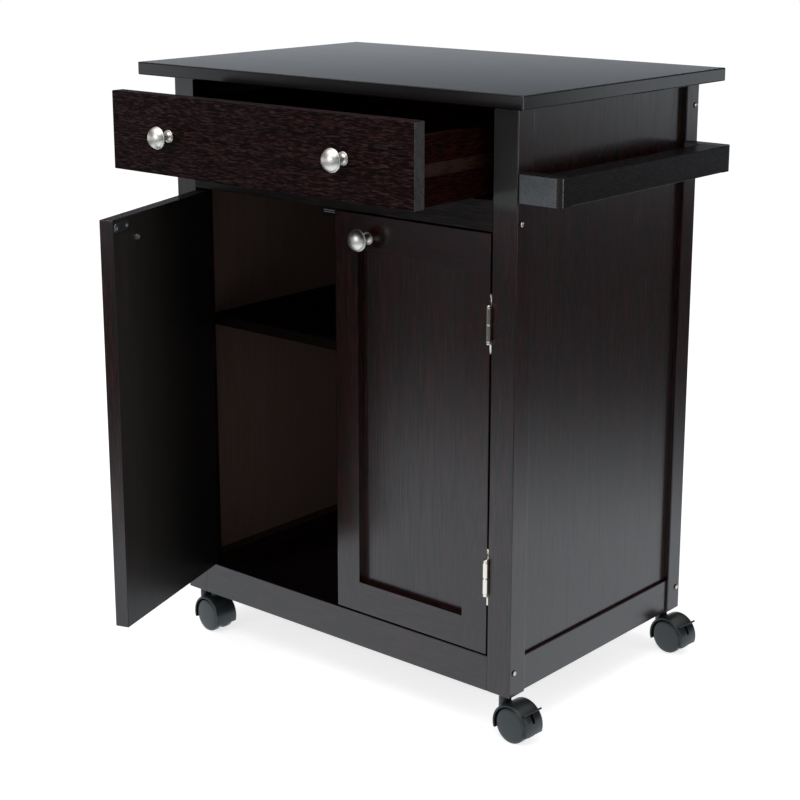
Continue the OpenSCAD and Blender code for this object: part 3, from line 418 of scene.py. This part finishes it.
# The arms' front and rear faces are painted a pale grey, which stands for a sheen of light on them.
arm_painted_sheen = espresso("stained_rubberwood_arm_painted_grey_sheen", "Z", streak=(3, 1.6),
                           figure=(20, 12), ground="#4a4d50", warm="#54575a", pore="#3b3d40",
                           sheen=(0.3, 0.4), ior=1.5)
for bar, woods in (("towel_bar", [bar_lacquer]),
                   ("towel_bar_arms", [arm_lacquer, arm_painted_sheen, bar_lacquer])):
    bm = merged(bar)
    ease(bm, 1.6, 8.0 if len(woods) > 1 else 60.0)
    if len(woods) > 1:
        for face in bm.faces:
            face.normal_update()
            face.material_index = (1 if abs(face.normal.y) > 0.97 else
                                   2 if face.normal.x > 0.97 else 0)
    place_piece(bar + "_wood", bm, "carcass", woods, [bar])

# ---- Bolts and screws
# Knock-down bolts with low domed heads on the posts' sides, their nickel plate bright on the dome
# with the rim painted dark, which stands for the dark reflection at the rim of each head; the screws
# of the towel bar, the post hinges and the drawer's knobs; and the steel sockets and stems of the
# casters.

bolt_dome = metal("nickel_plated_bolt_dome", "#c9c4c0", 0.24, 0.06, 0.8)
bolt_painted_rim = metal("nickel_plated_bolt_painted_dark_rim", "#2b2523", 0.3, 0.1, 0.8)
black_steel = metal("black_zinc_stem_steel", "#26282a", 0.34, 0.12, 0.8)
BOLT_PROFILE = [(0, -68), (2.5, -68), (2.5, 0), (3.8, 0), (4.0, 0.25), (3.9, 0.8), (3.4, 1.4),
                (2.6, 1.85), (1.6, 2.1), (0.8, 2.18), (0, 2.2)]
BOLTS = [(9, 96), (9, 694.3), (406, 96), (406, 806)]     # Y and Z of the heads' middles
POST_FACE_X = 306                                        # outer faces of the posts
DOME_FOOT = 1.5                                          # height at which the bright dome starts; below it the rim is painted dark


def turned(bm, profile, steps=48):
    """A lathe shape about Z through the profile's radii and heights."""
    points = [bm.verts.new((r, 0, h)) for r, h in profile]
    chain = [bm.edges.new(pair) for pair in zip(points, points[1:])]
    bmesh.ops.spin(bm, geom=points + chain, cent=(0, 0, 0), axis=(0, 0, 1),
                   angle=2 * math.pi, steps=steps, use_merge=True)
    bmesh.ops.remove_doubles(bm, verts=bm.verts, dist=0.001)
    bmesh.ops.recalc_face_normals(bm, faces=bm.faces)


def joined(bm, part, matrix):
    """Adds the bmesh part, moved by the matrix, to bm."""
    bmesh.ops.transform(part, matrix=matrix, verts=part.verts)
    if matrix.determinant() < 0:
        bmesh.ops.reverse_faces(part, faces=part.faces)
    carrier = bpy.data.meshes.new("carrier")
    part.to_mesh(carrier)
    part.free()
    bm.from_mesh(carrier)
    bpy.data.meshes.remove(carrier)


bm = bmesh.new()
for side in (-1, 1):
    for y, z in BOLTS:
        bolt = bmesh.new()
        turned(bolt, BOLT_PROFILE, 32)
        for face in bolt.faces:
            face.material_index = 0 if face.calc_center_median().z > DOME_FOOT else 1
        joined(bm, bolt, Matrix.Translation((side * POST_FACE_X, y, z))
               @ Matrix.Rotation(side * math.radians(90), 4, "Y"))
place_piece("domed_frame_bolts", bm, "carcass", [bolt_dome, bolt_painted_rim], ["frame_bolts"],
            smooth=35)
for fastener, plating in (("carcass_screws", zinc), ("drawer_knob_screws", zinc),
                          ("caster_sockets", black_steel), ("caster_stems", black_steel)):
    nodes[fastener].data.materials[0] = plating

# ---- Drawer
# A solid front with a coarse open grain, on a box of thinner stained boards. A groove in each side
# runs on the runners.

front_wood = espresso("stained_open_grain_drawer_front", "X", streak=(11, 1.3), figure=(90, 9),
                      ground="#120304", warm="#1e0506", pore="#010000", sheen=(0.34, 0.5),
                      relief=0.03, ior=1.15, fleck="#322324")
# The front's end faces are painted a pale grey, which stands for a sheen of light on them.
front_end_wood = espresso("stained_end_grain_drawer_front_painted_grey_sheen", "Z", streak=(5, 1.6), figure=(30, 12),
                          ground="#2f2d2c", warm="#3a3736", pore="#1b1919", sheen=(0.34, 0.46),
                          ior=1.4)
box_wood = espresso("stained_drawer_side_lengthwise", "Y", streak=(14, 1.6), ground="#0f0202",
                    warm="#180303", sheen=(0.4, 0.6), ior=1.08, fleck="#240807")
box_cross = espresso("stained_drawer_board_crosswise", "X", streak=(14, 1.6), ground="#0f0202",
                     warm="#180303", sheen=(0.4, 0.6), ior=1.08, fleck="#240807")
# The floors of the grooves are paler.
groove_wood = espresso("paler_drawer_groove_floor_lengthwise", "Y", streak=(14, 1.6),
                       ground="#2a1711", warm="#341d15", pore="#180a07", sheen=(0.4, 0.6), ior=1.2)
for board, wood, slot, radius in (("drawer_front", front_wood, "frame_wood", 1.2),
                                  ("drawer_left_side", box_wood, "drawer_wood", 0.8),
                                  ("drawer_right_side", box_wood, "drawer_wood", 0.8),
                                  ("drawer_back", box_cross, "drawer_wood", 0.8),
                                  ("drawer_bottom", box_cross, "drawer_wood", 0.3)):
    bm = merged(board)
    ease(bm, radius)
    outer = max(abs(vert.co.x) for vert in bm.verts)
    for face in bm.faces:
        face.normal_update()
        middle = face.calc_center_median()
        if wood is front_wood:
            face.material_index = 1 if abs(face.normal.x) > 0.9 else 0
        elif wood is box_wood:
            groove = face.normal.x * middle.x > 0.9 * abs(middle.x) and abs(middle.x) < outer - 2
            face.material_index = 2 if groove else 0
    place_piece(board + "_board", bm, "drawer", [wood, front_end_wood, groove_wood], [board])

# ---- Knobs
# Turned and plated mushroom knobs in satin nickel: a deep dome with a thin rounded rim, a waisted
# neck and a stepped round foot. Each is held by one screw from behind.

satin_nickel = metal("satin_nickel_plate", "#ebe6de", 0.38, 0.06, 0.6)
KNOB_PROFILE = [      # radius and height in mm, from the foot up and over the cap
    (0, 0), (8.1, 0), (8.5, 0.4), (8.5, 1.4), (8.1, 1.9), (7.3, 2.0), (7.0, 1.75), (6.4, 1.75),
    (6.1, 2.2), (5.6, 2.8), (4.9, 3.6), (4.4, 4.8), (4.1, 6.5), (4.0, 9.0), (4.1, 12.0),
    (4.5, 14.5), (5.4, 16.6), (7.2, 18.2), (10.0, 19.2), (12.8, 19.8), (14.3, 20.2),
    (14.9, 20.8), (15.0, 21.4), (14.8, 22.0), (14.35, 22.3), (14.1, 22.6), (13.9, 23.6),
    (13.2, 25.4), (12.0, 27.2), (10.2, 28.9), (8.0, 30.3), (5.5, 31.3), (2.8, 31.85), (0, 32)]
TO_FRONT = Matrix.Rotation(math.radians(90), 4, "X")       # a knob's Z becomes -Y
DRAWER_KNOBS = [Vector((x, -150, 779)) for x in (-155, 155)]
bm = bmesh.new()
for spot in DRAWER_KNOBS:
    knob = bmesh.new()
    turned(knob, KNOB_PROFILE)
    joined(bm, knob, Matrix.Translation(spot) @ TO_FRONT)
place_piece("drawer_knob_pair", bm, "drawer", [satin_nickel], ["drawer_knobs"],
            smooth=35)

# ---- Doors
# Rubberwood frames of two stiles and two rails, glued round a veneered panel that lies flush with
# the inner face. The stiles' grain is upright and the rails' runs across; a door has two hinges.

LEFT_DOOR_TURN = math.radians(-71.5)
PIN = Vector((266.8, -3.9, 0))      # hinge pin of the right door; the left one is mirrored
LEFT_DOOR = (Matrix.Translation((-PIN.x, PIN.y, 0)) @ Matrix.Rotation(LEFT_DOOR_TURN, 4, "Z")
             @ Matrix.Translation((PIN.x, -PIN.y, 0)) @ Matrix.Scale(-1, 4, (1, 0, 0)))
RIGHT_DOOR = Matrix.Identity(4)
STILE_EDGES = (1.5, 42.5, 224.6, 265.6)      # X of the stiles' sides on the shut right door
DOOR_KNOB = Vector((61.5, 0, 648))           # foot of the knob on it
door_panel_wood = espresso("stained_veneer_satin_lacquer_door_panel", "Z", streak=(60, 1.4),
                           figure=(400, 20), ground="#110505", warm="#200a0a",
                           sheen=(0.22, 0.28), relief=0.002, fleck="#301513")
# The doors' backs are a dull grey-brown, painted darker toward the hinge, which stands for the shade
# there.
door_back = espresso("stained_door_back_dull_lacquer_painted_shade", "Z", streak=(70, 1.8), figure=(400, 60),
                     ground="#292725", warm="#2f2b2a", pore="#272524", sheen=(0.34, 0.4),
                     relief=0.001, ior=1.25, painted_tone="#070707")
PANEL_GAP = 0.2          # mm between the CAD's panel and its rabbet


def toward_hinge(bm):
    """Gives a shut right door's piece its place from the free edge, 0, to the hinge edge, 1, by which
    its back is painted darker toward the hinge.
    """
    toward = bm.verts.layers.float.new("toward")
    for vert in bm.verts:
        vert[toward] = (vert.co.x - STILE_EDGES[0]) / (STILE_EDGES[3] - STILE_EDGES[0])


for side, door, turn in (("left", LEFT_DOOR, LEFT_DOOR_TURN), ("right", RIGHT_DOOR, 0.0)):
    rails = espresso(side + "_door_rail_satin_lacquer_crosswise", "X", turn=turn, fleck=RAY)
    bm = merged(side + "_door_frame", door)
    member = bm.faces.layers.float.new("board")      # each stile and rail has its own grain
    for face in bm.faces:
        x = face.calc_center_median().x
        stile = x < STILE_EDGES[1] + 0.01 or x > STILE_EDGES[2] - 0.01
        face.normal_update()
        face.material_index = 2 if face.normal.y > 0.9 else 0 if stile else 1
        face[member] = (11.3 if x < 100 else 17.9) if stile else (
            23.1 if face.calc_center_median().z > 400 else 29.7)
        face[member] += 50 if side == "left" else 0
    ease(bm, 1.0)
    toward_hinge(bm)
    place_piece(side + "_door_stiles_and_rails", bm, side + "_door",
                [upright, rails, door_back], [side + "_door_frame"], TO_FRAME @ door)
    bm = merged(side + "_door_panel", door)
    for face in bm.faces:
        face.normal_update()
        face.material_index = 1 if face.normal.y > 0.9 else 0
    toward_hinge(bm)
    middle = sum((v.co for v in bm.verts), Vector()) / len(bm.verts)
    for vert in bm.verts:      # glued tight into its rabbet, so no gap shows
        vert.co.x += math.copysign(PANEL_GAP, vert.co.x - middle.x)
        vert.co.z += math.copysign(PANEL_GAP, vert.co.z - middle.z)
    place_piece(side + "_door_panel_board", bm, side + "_door",
                [door_panel_wood, door_back], [side + "_door_panel"], TO_FRAME @ door)

    knob = bmesh.new()
    turned(knob, KNOB_PROFILE)
    bmesh.ops.transform(knob, matrix=Matrix.Translation(DOOR_KNOB) @ TO_FRONT,
                        verts=knob.verts)
    place_piece(side + "_door_knob_cap", knob, side + "_door", [satin_nickel],
                [side + "_door_knob"], TO_FRAME @ door, smooth=35)

# ---- Hinges
# Butt hinges of bright nickel-plated steel: two thin leaves in the gap between door and post, each
# rolled into a knuckle round one pin with round tips. The post's leaf has the lower knuckle.

bright_nickel = metal("bright_nickel_plate", "#f0e8db", 0.15, 0.05, 0.8)
HINGES_Z = (223, 563)
BARREL = 22.0          # half a barrel's height
SEAM = 0.15            # half the gap between its knuckles
KNUCKLE_R = 3.6
LEAF_T = 1.1
WEB_X = 0.65           # middle of a web, to one side of the pin
WEB_Y, WEB_DEPTH = 1.9, 4.4
TIP = [(0, 21.5), (2.4, 21.5), (2.4, 22.3), (3.0, 22.35), (3.3, 22.7), (3.3, 24.0), (3.1, 24.8),
       (2.6, 25.4), (1.8, 25.8), (0.9, 25.95), (0, 26)]
LOW_KNUCKLE, HIGH_KNUCKLE = -BARREL, SEAM
FLIP = Matrix.Rotation(math.radians(180), 4, "X")


def leaves(node, turn=None):
    """The flat leaves of a CAD hinge, without the part in front of them that is rolled."""
    bm = merged(node, turn)
    bmesh.ops.bisect_plane(bm, geom=bm.verts[:] + bm.edges[:] + bm.faces[:], dist=0.001,
                           plane_co=(0, -0.2, 0), plane_no=(0, -1, 0), clear_outer=True)
    bmesh.ops.holes_fill(bm, edges=[e for e in bm.edges if e.is_boundary])
    return bm


def rolled(bm, low, web_x, at):
    """Adds a knuckle, from low up, and the web that joins it to its leaf, about a pin at at."""
    high = low + BARREL - SEAM
    knuckle = bmesh.new()
    turned(knuckle, [(0, low), (2.9, low), (3.3, low + 0.2), (KNUCKLE_R, low + 0.8),
                     (KNUCKLE_R, high - 0.8), (3.3, high - 0.2), (2.9, high), (0, high)], 40)
    joined(bm, knuckle, at)
    web = bmesh.new()
    bmesh.ops.create_cube(web, size=1)
    bmesh.ops.transform(web, matrix=Matrix.Translation((web_x, WEB_Y, (low + high) / 2))
                        @ Matrix.Diagonal((LEAF_T, WEB_DEPTH, high - low, 1)), verts=web.verts)
    bmesh.ops.bevel(web, geom=web.edges[:], affect="EDGES", offset=0.2, segments=2, profile=0.5,
                    material=-1)
    joined(bm, web, at)


bm = leaves("post_hinges")
for side in (1, -1):
    for z in HINGES_Z:
        at = Matrix.Scale(side, 4, (1, 0, 0)) @ Matrix.Translation((PIN.x, PIN.y, z))
        rolled(bm, LOW_KNUCKLE, WEB_X, at)
        for end in (Matrix.Identity(4), FLIP):
            tip = bmesh.new()
            turned(tip, TIP, 40)
            joined(bm, tip, at @ end)
place_piece("post_hinge_leaves", bm, "carcass", [bright_nickel], ["post_hinges"],
            smooth=18)
for side, door in (("left", LEFT_DOOR), ("right", RIGHT_DOOR)):
    bm = leaves(side + "_door_hinges", door)
    for z in HINGES_Z:
        rolled(bm, HIGH_KNUCKLE, -WEB_X, Matrix.Translation((PIN.x, PIN.y, z)))
    place_piece(side + "_door_hinge_leaves", bm, side + "_door", [bright_nickel],
                [side + "_door_hinges"], TO_FRAME @ door, smooth=18)

# ---- Magnetic catches and strike plates
# A black moulded case with two bare steel pole strips below the divider, and a zinc-plated plate
# with round ends inside each door, held by two screws. The knob's screw head is near it.

SPARK_GRAIN, SPARK_DEPTH = 0.6, 0.01       # mm, width and depth of the grain in the plastic


def moulded(name, colour, roughness, ior=1.5):
    """Moulded plastic with a fine spark-eroded grain."""
    material = bpy.data.materials.new(name)
    material.use_nodes = True
    tree = material.node_tree
    shader = tree.nodes["Principled BSDF"]
    place = add(tree, "TexCoord")
    stipple = add(tree, "TexNoise", {"Vector": place.outputs["Object"],
                                     "Scale": 1 / (SPARK_GRAIN * MM), "Detail": 2.0})
    tint = add(tree, "Mix", {0: stipple.outputs["Fac"], 6: linear(colour),
                             7: [1.25 * c for c in linear(colour)]}, data_type="RGBA")
    rough = add(tree, "MapRange", {"Value": stipple.outputs["Fac"], "To Min": roughness - 0.06,
                                   "To Max": roughness + 0.06})
    rise = add(tree, "Bump", {"Height": stipple.outputs["Fac"], "Distance": SPARK_DEPTH * MM})
    tree.links.new(tint.outputs[2], shader.inputs["Base Color"])
    tree.links.new(rough.outputs[0], shader.inputs["Roughness"])
    tree.links.new(rise.outputs[0], shader.inputs["Normal"])
    shader.inputs["IOR"].default_value = ior
    return material


def slab(low, high, corner, arris):
    """A flat plate between two corners whose outline, seen along Y, has round corners."""
    bm = bmesh.new()
    bmesh.ops.create_cube(bm, size=1)
    size = Vector(high) - Vector(low)
    bmesh.ops.transform(bm, matrix=Matrix.Translation((Vector(low) + Vector(high)) / 2)
                        @ Matrix.Diagonal((*size, 1)), verts=bm.verts)
    bmesh.ops.bevel(bm, geom=[e for e in bm.edges if abs(e.verts[0].co.y - e.verts[1].co.y)
                              > size.y / 2], affect="EDGES", offset=corner, segments=8,
                    profile=0.5, material=-1)
    bmesh.ops.bevel(bm, geom=[e for e in bm.edges if abs(e.verts[0].co.y - e.verts[1].co.y)
                              < 0.01 and e.calc_face_angle(0) > 1], affect="EDGES",
                    offset=arris, segments=2, profile=0.5, material=-1)
    return bm


def screw_head(radius, height):
    """A raised screw head from Z = 0 up, with a cross recess."""
    bm = bmesh.new()
    pit = 0.42 * radius
    turned(bm, [(0, 0), (radius, 0), (radius, 0.45 * height), (0.93 * radius, 0.68 * height),
                (0.78 * radius, 0.87 * height), (0.6 * radius, 0.97 * height), (pit, height),
                (0.9 * pit, height - 0.2), (0.5 * pit, 0.25 * height), (0, 0.2 * height)], 32)
    for vert in bm.verts:
        if 0 < vert.co.xy.length < 1.01 * pit and vert.co.z > 0.22 * height:
            lobe = 1 + 0.4 * math.cos(4 * math.atan2(vert.co.y, vert.co.x))
            vert.co.x *= lobe
            vert.co.y *= lobe
    return bm


catch_case = moulded("black_moulded_abs_catch", "#040404", 0.5, ior=1.25)
strike_zinc = metal("grey_zinc_strike_steel", "#8d9294", 0.36, 0.1, 0.8)
pole_steel = metal("bare_ground_pole_steel", "#e9e6df", 0.3, 0.08, 0.6)
STRIKE = (22.5, 20.0, 668.0)       # middle of the plate on the shut right door's inner face
STRIKE_W, STRIKE_T, STRIKE_H = 36, 1.2, 12
CATCH_LOW, CATCH_HIGH = (2.5, 22.7, 663.0), (42.5, 37.7, 681.0)
# X and Z of each screw in a door's back, and its head's radius and height
SCREWS = {(9.5, STRIKE[2]): (3.02, 1.75), (35.5, STRIKE[2]): (3.02, 1.75),
          (DOOR_KNOB.x, DOOR_KNOB.z): (4.05, 2.9)}
POLE_X, POLE_Y = (6.5, 38.5), (21.9, 23.0)
POLE_UP, POLE_H = (1.2, 3.8), 1.2       # feet of the two strips above the plate's middle
TO_BACK = Matrix.Rotation(math.radians(-90), 4, "X")       # a screw head's Z becomes +Y
bm = bmesh.new()
for side in (1, -1):
    across = Matrix.Scale(side, 4, (1, 0, 0))
    joined(bm, slab(CATCH_LOW, CATCH_HIGH, 1.0, 0.4), across)
    for up in POLE_UP:
        pole = slab((POLE_X[0], POLE_Y[0], STRIKE[2] + up),
                    (POLE_X[1], POLE_Y[1], STRIKE[2] + up + POLE_H), 0.3, 0.15)
        for face in pole.faces:
            face.material_index = 1
        joined(bm, pole, across)
place_piece("magnetic_catch_cases", bm, "carcass", [catch_case, pole_steel],
            ["magnetic_catches"], smooth=18)
for side, door in (("left", LEFT_DOOR), ("right", RIGHT_DOOR)):
    x, y, z = STRIKE
    plate = slab((x - STRIKE_W / 2, y, z - STRIKE_H / 2),
                 (x + STRIKE_W / 2, y + STRIKE_T, z + STRIKE_H / 2), 5.5, 0.4)
    place_piece(side + "_door_strike", plate, side + "_door", [strike_zinc],
                [side + "_door_strike_plate"], TO_FRAME @ door, smooth=18)
    bm = merged(side + "_door_screws", door)
    for (x, z), (radius, height) in SCREWS.items():
        joined(bm, screw_head(radius, height), Matrix.Translation((x, y, z)) @ TO_BACK)
    place_piece(side + "_door_cross_head_screws", bm, side + "_door", [zinc],
                [side + "_door_screws"], TO_FRAME @ door, smooth=35)

# ---- Casters
# Twin-wheel casters moulded from satin grey nylon: a hood over two wheels on one axle, on a steel
# stem in each post's foot. The two at the right have a brake lever whose arm comes out through a
# narrow slot in the hood.

hood_nylon = moulded("satin_grey_nylon_hood", "#151b1c", 0.3)
wheel_nylon = moulded("satin_grey_nylon_wheel", "#1f2628", 0.32)
lever_nylon = moulded("satin_dark_nylon_lever", "#0e1212", 0.34)

AXLE = Vector((22.5, 0, -37))       # from the stem at a post's foot, before the hood's turn
SKIRT = -9.0                        # the hood's lower edge, from the axle
HOOD_OUT, HOOD_IN = 29.5, 26.3
SLOT = (16, 46)                     # degrees above the axle
SLOT_HALF = 2.3                     # half its width in mm
HOOD_FROM, HOOD_TO = math.radians(-24), math.radians(204)
WEB_BEHIND = math.radians(56)       # where the web starts again behind a lever
WEB_HALF, WEB_R, HUB_R = 5.5, 6, 11
POST_FOOT = 62                      # Z of the posts' feet
LEVER_ANGLE = math.radians(42)
LEVER_PIN = 17                      # from the axle, as are the next two
PEDAL_REACH, PEDAL = 34.3, (8, 32, 2.4)
ARM_REACH, ARM = 23.9, (13.8, 3.4, 2.4)
EYE_R, EYE_HALF = 3.2, 1.7
ABOUT_AXLE = Matrix.Translation(AXLE) @ Matrix.Rotation(math.radians(90), 4, "X")
# Stem's X and Y, turn of the hood, side of the outer wheel, and whether there is a brake
CASTERS = {"front_left": (-287, 16, -7, -1, False), "front_right": (287, 16, -4, -1, True),
           "rear_left": (-287, 399, -5, 1, False), "rear_right": (287, 399, -6, 1, True)}
SHELL = [(-18, 27.7), (-17.75, 28.6), (-17.1, 29.2), (-16.0, HOOD_OUT), (-SLOT_HALF, HOOD_OUT),
         (SLOT_HALF, HOOD_OUT), (16.0, HOOD_OUT), (17.1, 29.2), (17.75, 28.6), (18, 27.7),
         (17.9, 26.9), (17.3, HOOD_IN), (SLOT_HALF, HOOD_IN), (-SLOT_HALF, HOOD_IN),
         (-17.3, HOOD_IN), (-17.9, 26.9)]           # section: along the axle, and radius
WHEEL = [(0, 6), (24.2, 6), (24.8, 6.4), (25, 7.2), (25, 12.6), (24.75, 14.0), (24.1, 15.2),
         (23.0, 16.0), (21.4, 16.5), (19.0, 16.85), (15.0, 17.15), (10.0, 17.38), (5.0, 17.48),
         (0, 17.5)]         # radius, and place along the axle from the middle of the caster


def swept(section, start, end, steps):
    """A closed section of (along the axle, radius) swept round the axle between two angles."""
    bm = bmesh.new()
    ring = [bm.verts.new((r * math.cos(start), r * math.sin(start), -along))
            for along, r in section]
    loop = [bm.edges.new(pair) for pair in zip(ring, ring[1:] + ring[:1])]
    bmesh.ops.spin(bm, geom=ring + loop, cent=(0, 0, 0), axis=(0, 0, 1), angle=end - start,
                   steps=steps)
    bmesh.ops.holes_fill(bm, edges=[e for e in bm.edges if e.is_boundary])
    bmesh.ops.recalc_face_normals(bm, faces=bm.faces)
    return bm


def cut_level(bm, height):
    """Cuts a closed shape level, so many mm above the axle, and closes the cut."""
    bmesh.ops.bisect_plane(bm, geom=bm.verts[:] + bm.edges[:] + bm.faces[:], dist=0.001,
                           plane_co=(0, height, 0), plane_no=(0, -1, 0), clear_outer=True)
    bmesh.ops.holes_fill(bm, edges=[e for e in bm.edges if e.is_boundary])


def hood_parts(braked):
    """Shell, hub and webs of a hood about its axle, which lies on Z, with Y up."""
    shell = swept(SHELL, HOOD_FROM, HOOD_TO, 76)
    if braked:
        inside = [f for f in shell.faces
                  if abs(f.calc_center_median().z) < SLOT_HALF * 0.9
                  and SLOT[0] < math.degrees(math.atan2(f.calc_center_median().y,
                                                        f.calc_center_median().x)) < SLOT[1]]
        bmesh.ops.delete(shell, geom=inside, context="FACES")
        rims = [e for e in shell.edges if e.is_boundary]
        bmesh.ops.bridge_loops(shell, edges=rims)
    cut_level(shell, SKIRT)
    block = [(-WEB_HALF, WEB_R), (WEB_HALF, WEB_R), (WEB_HALF, HOOD_IN + 0.1),
             (-WEB_HALF, HOOD_IN + 0.1)]
    if braked:
        webs = [swept(block, WEB_BEHIND, HOOD_TO, 48),
                swept(block, HOOD_FROM, math.radians(SLOT[0]), 14)]
    else:
        webs = [swept(block, HOOD_FROM, HOOD_TO, 72)]
    hub = bmesh.new()
    turned(hub, [(0, -WEB_HALF), (HUB_R, -WEB_HALF), (HUB_R, WEB_HALF), (0, WEB_HALF)], 40)
    for web in webs:
        cut_level(web, SKIRT)
    return [shell, hub] + webs


for corner, (x, y, turn, outer, braked) in CASTERS.items():
    stand = Matrix.Translation((x, y, POST_FOOT)) @ Matrix.Rotation(math.radians(turn), 4, "Z")
    bm = bmesh.new()
    for part in hood_parts(braked):
        joined(bm, part, ABOUT_AXLE)
    boss = bmesh.new()
    turned(boss, [(0, -30), (8.6, -30), (8.6, -8), (8.4, -5.6), (7.9, -4.0), (7.0, -3.0),
                  (6.4, -2.7), (0, -2.6)], 40)
    joined(bm, boss, Matrix.Identity(4))
    place_piece(corner + "_nylon_hood", bm, corner + "_caster", [hood_nylon],
                [corner + "_caster_hood"], TO_FRAME @ stand, smooth=32)
    for wheel, side in (("outer", outer), ("inner", -outer)):
        bm = bmesh.new()
        turned(bm, WHEEL, 72)
        bmesh.ops.transform(bm, matrix=Matrix.Translation(AXLE)
                            @ Matrix.Rotation(math.radians(-90 * side), 4, "X"), verts=bm.verts)
        place_piece(f"{corner}_{wheel}_nylon_wheel", bm, f"{corner}_{wheel}_wheel",
                    [wheel_nylon], [f"{corner}_{wheel}_wheel"],
                    TO_FRAME @ stand, smooth=40)
    if braked:
        bm = bmesh.new()
        bmesh.ops.create_cube(bm, size=1)
        bmesh.ops.transform(bm, matrix=Matrix.Translation((PEDAL_REACH, 0, 0))
                            @ Matrix.Diagonal((*PEDAL, 1)), verts=bm.verts)
        bmesh.ops.bevel(bm, geom=[e for e in bm.edges if abs(e.verts[0].co.z - e.verts[1].co.z) > 2],
                        affect="EDGES", offset=2.2, segments=4, profile=0.5, material=-1)
        bmesh.ops.bevel(bm, geom=[e for e in bm.edges if abs(e.verts[0].co.z - e.verts[1].co.z)
                                  < 0.1 and e.calc_face_angle(0) > 1], affect="EDGES",
                        offset=0.7, segments=3, profile=0.5, material=-1)
        arm = bmesh.new()
        bmesh.ops.create_cube(arm, size=1)
        joined(bm, arm, Matrix.Translation((ARM_REACH, 0, 0)) @ Matrix.Diagonal((*ARM, 1)))
        eye = bmesh.new()
        turned(eye, [(0, -EYE_HALF), (EYE_R, -EYE_HALF), (EYE_R, EYE_HALF), (0, EYE_HALF)], 24)
        joined(bm, eye, Matrix.Translation((LEVER_PIN, 0, 0))
               @ Matrix.Rotation(math.radians(90), 4, "X"))
        place_piece(corner + "_nylon_brake_lever", bm, corner + "_brake_lever",
                    [lever_nylon], [corner + "_brake_lever"],
                    TO_FRAME @ stand @ Matrix.Translation(AXLE)
                    @ Matrix.Rotation(-LEVER_ANGLE, 4, "Y"), smooth=35)
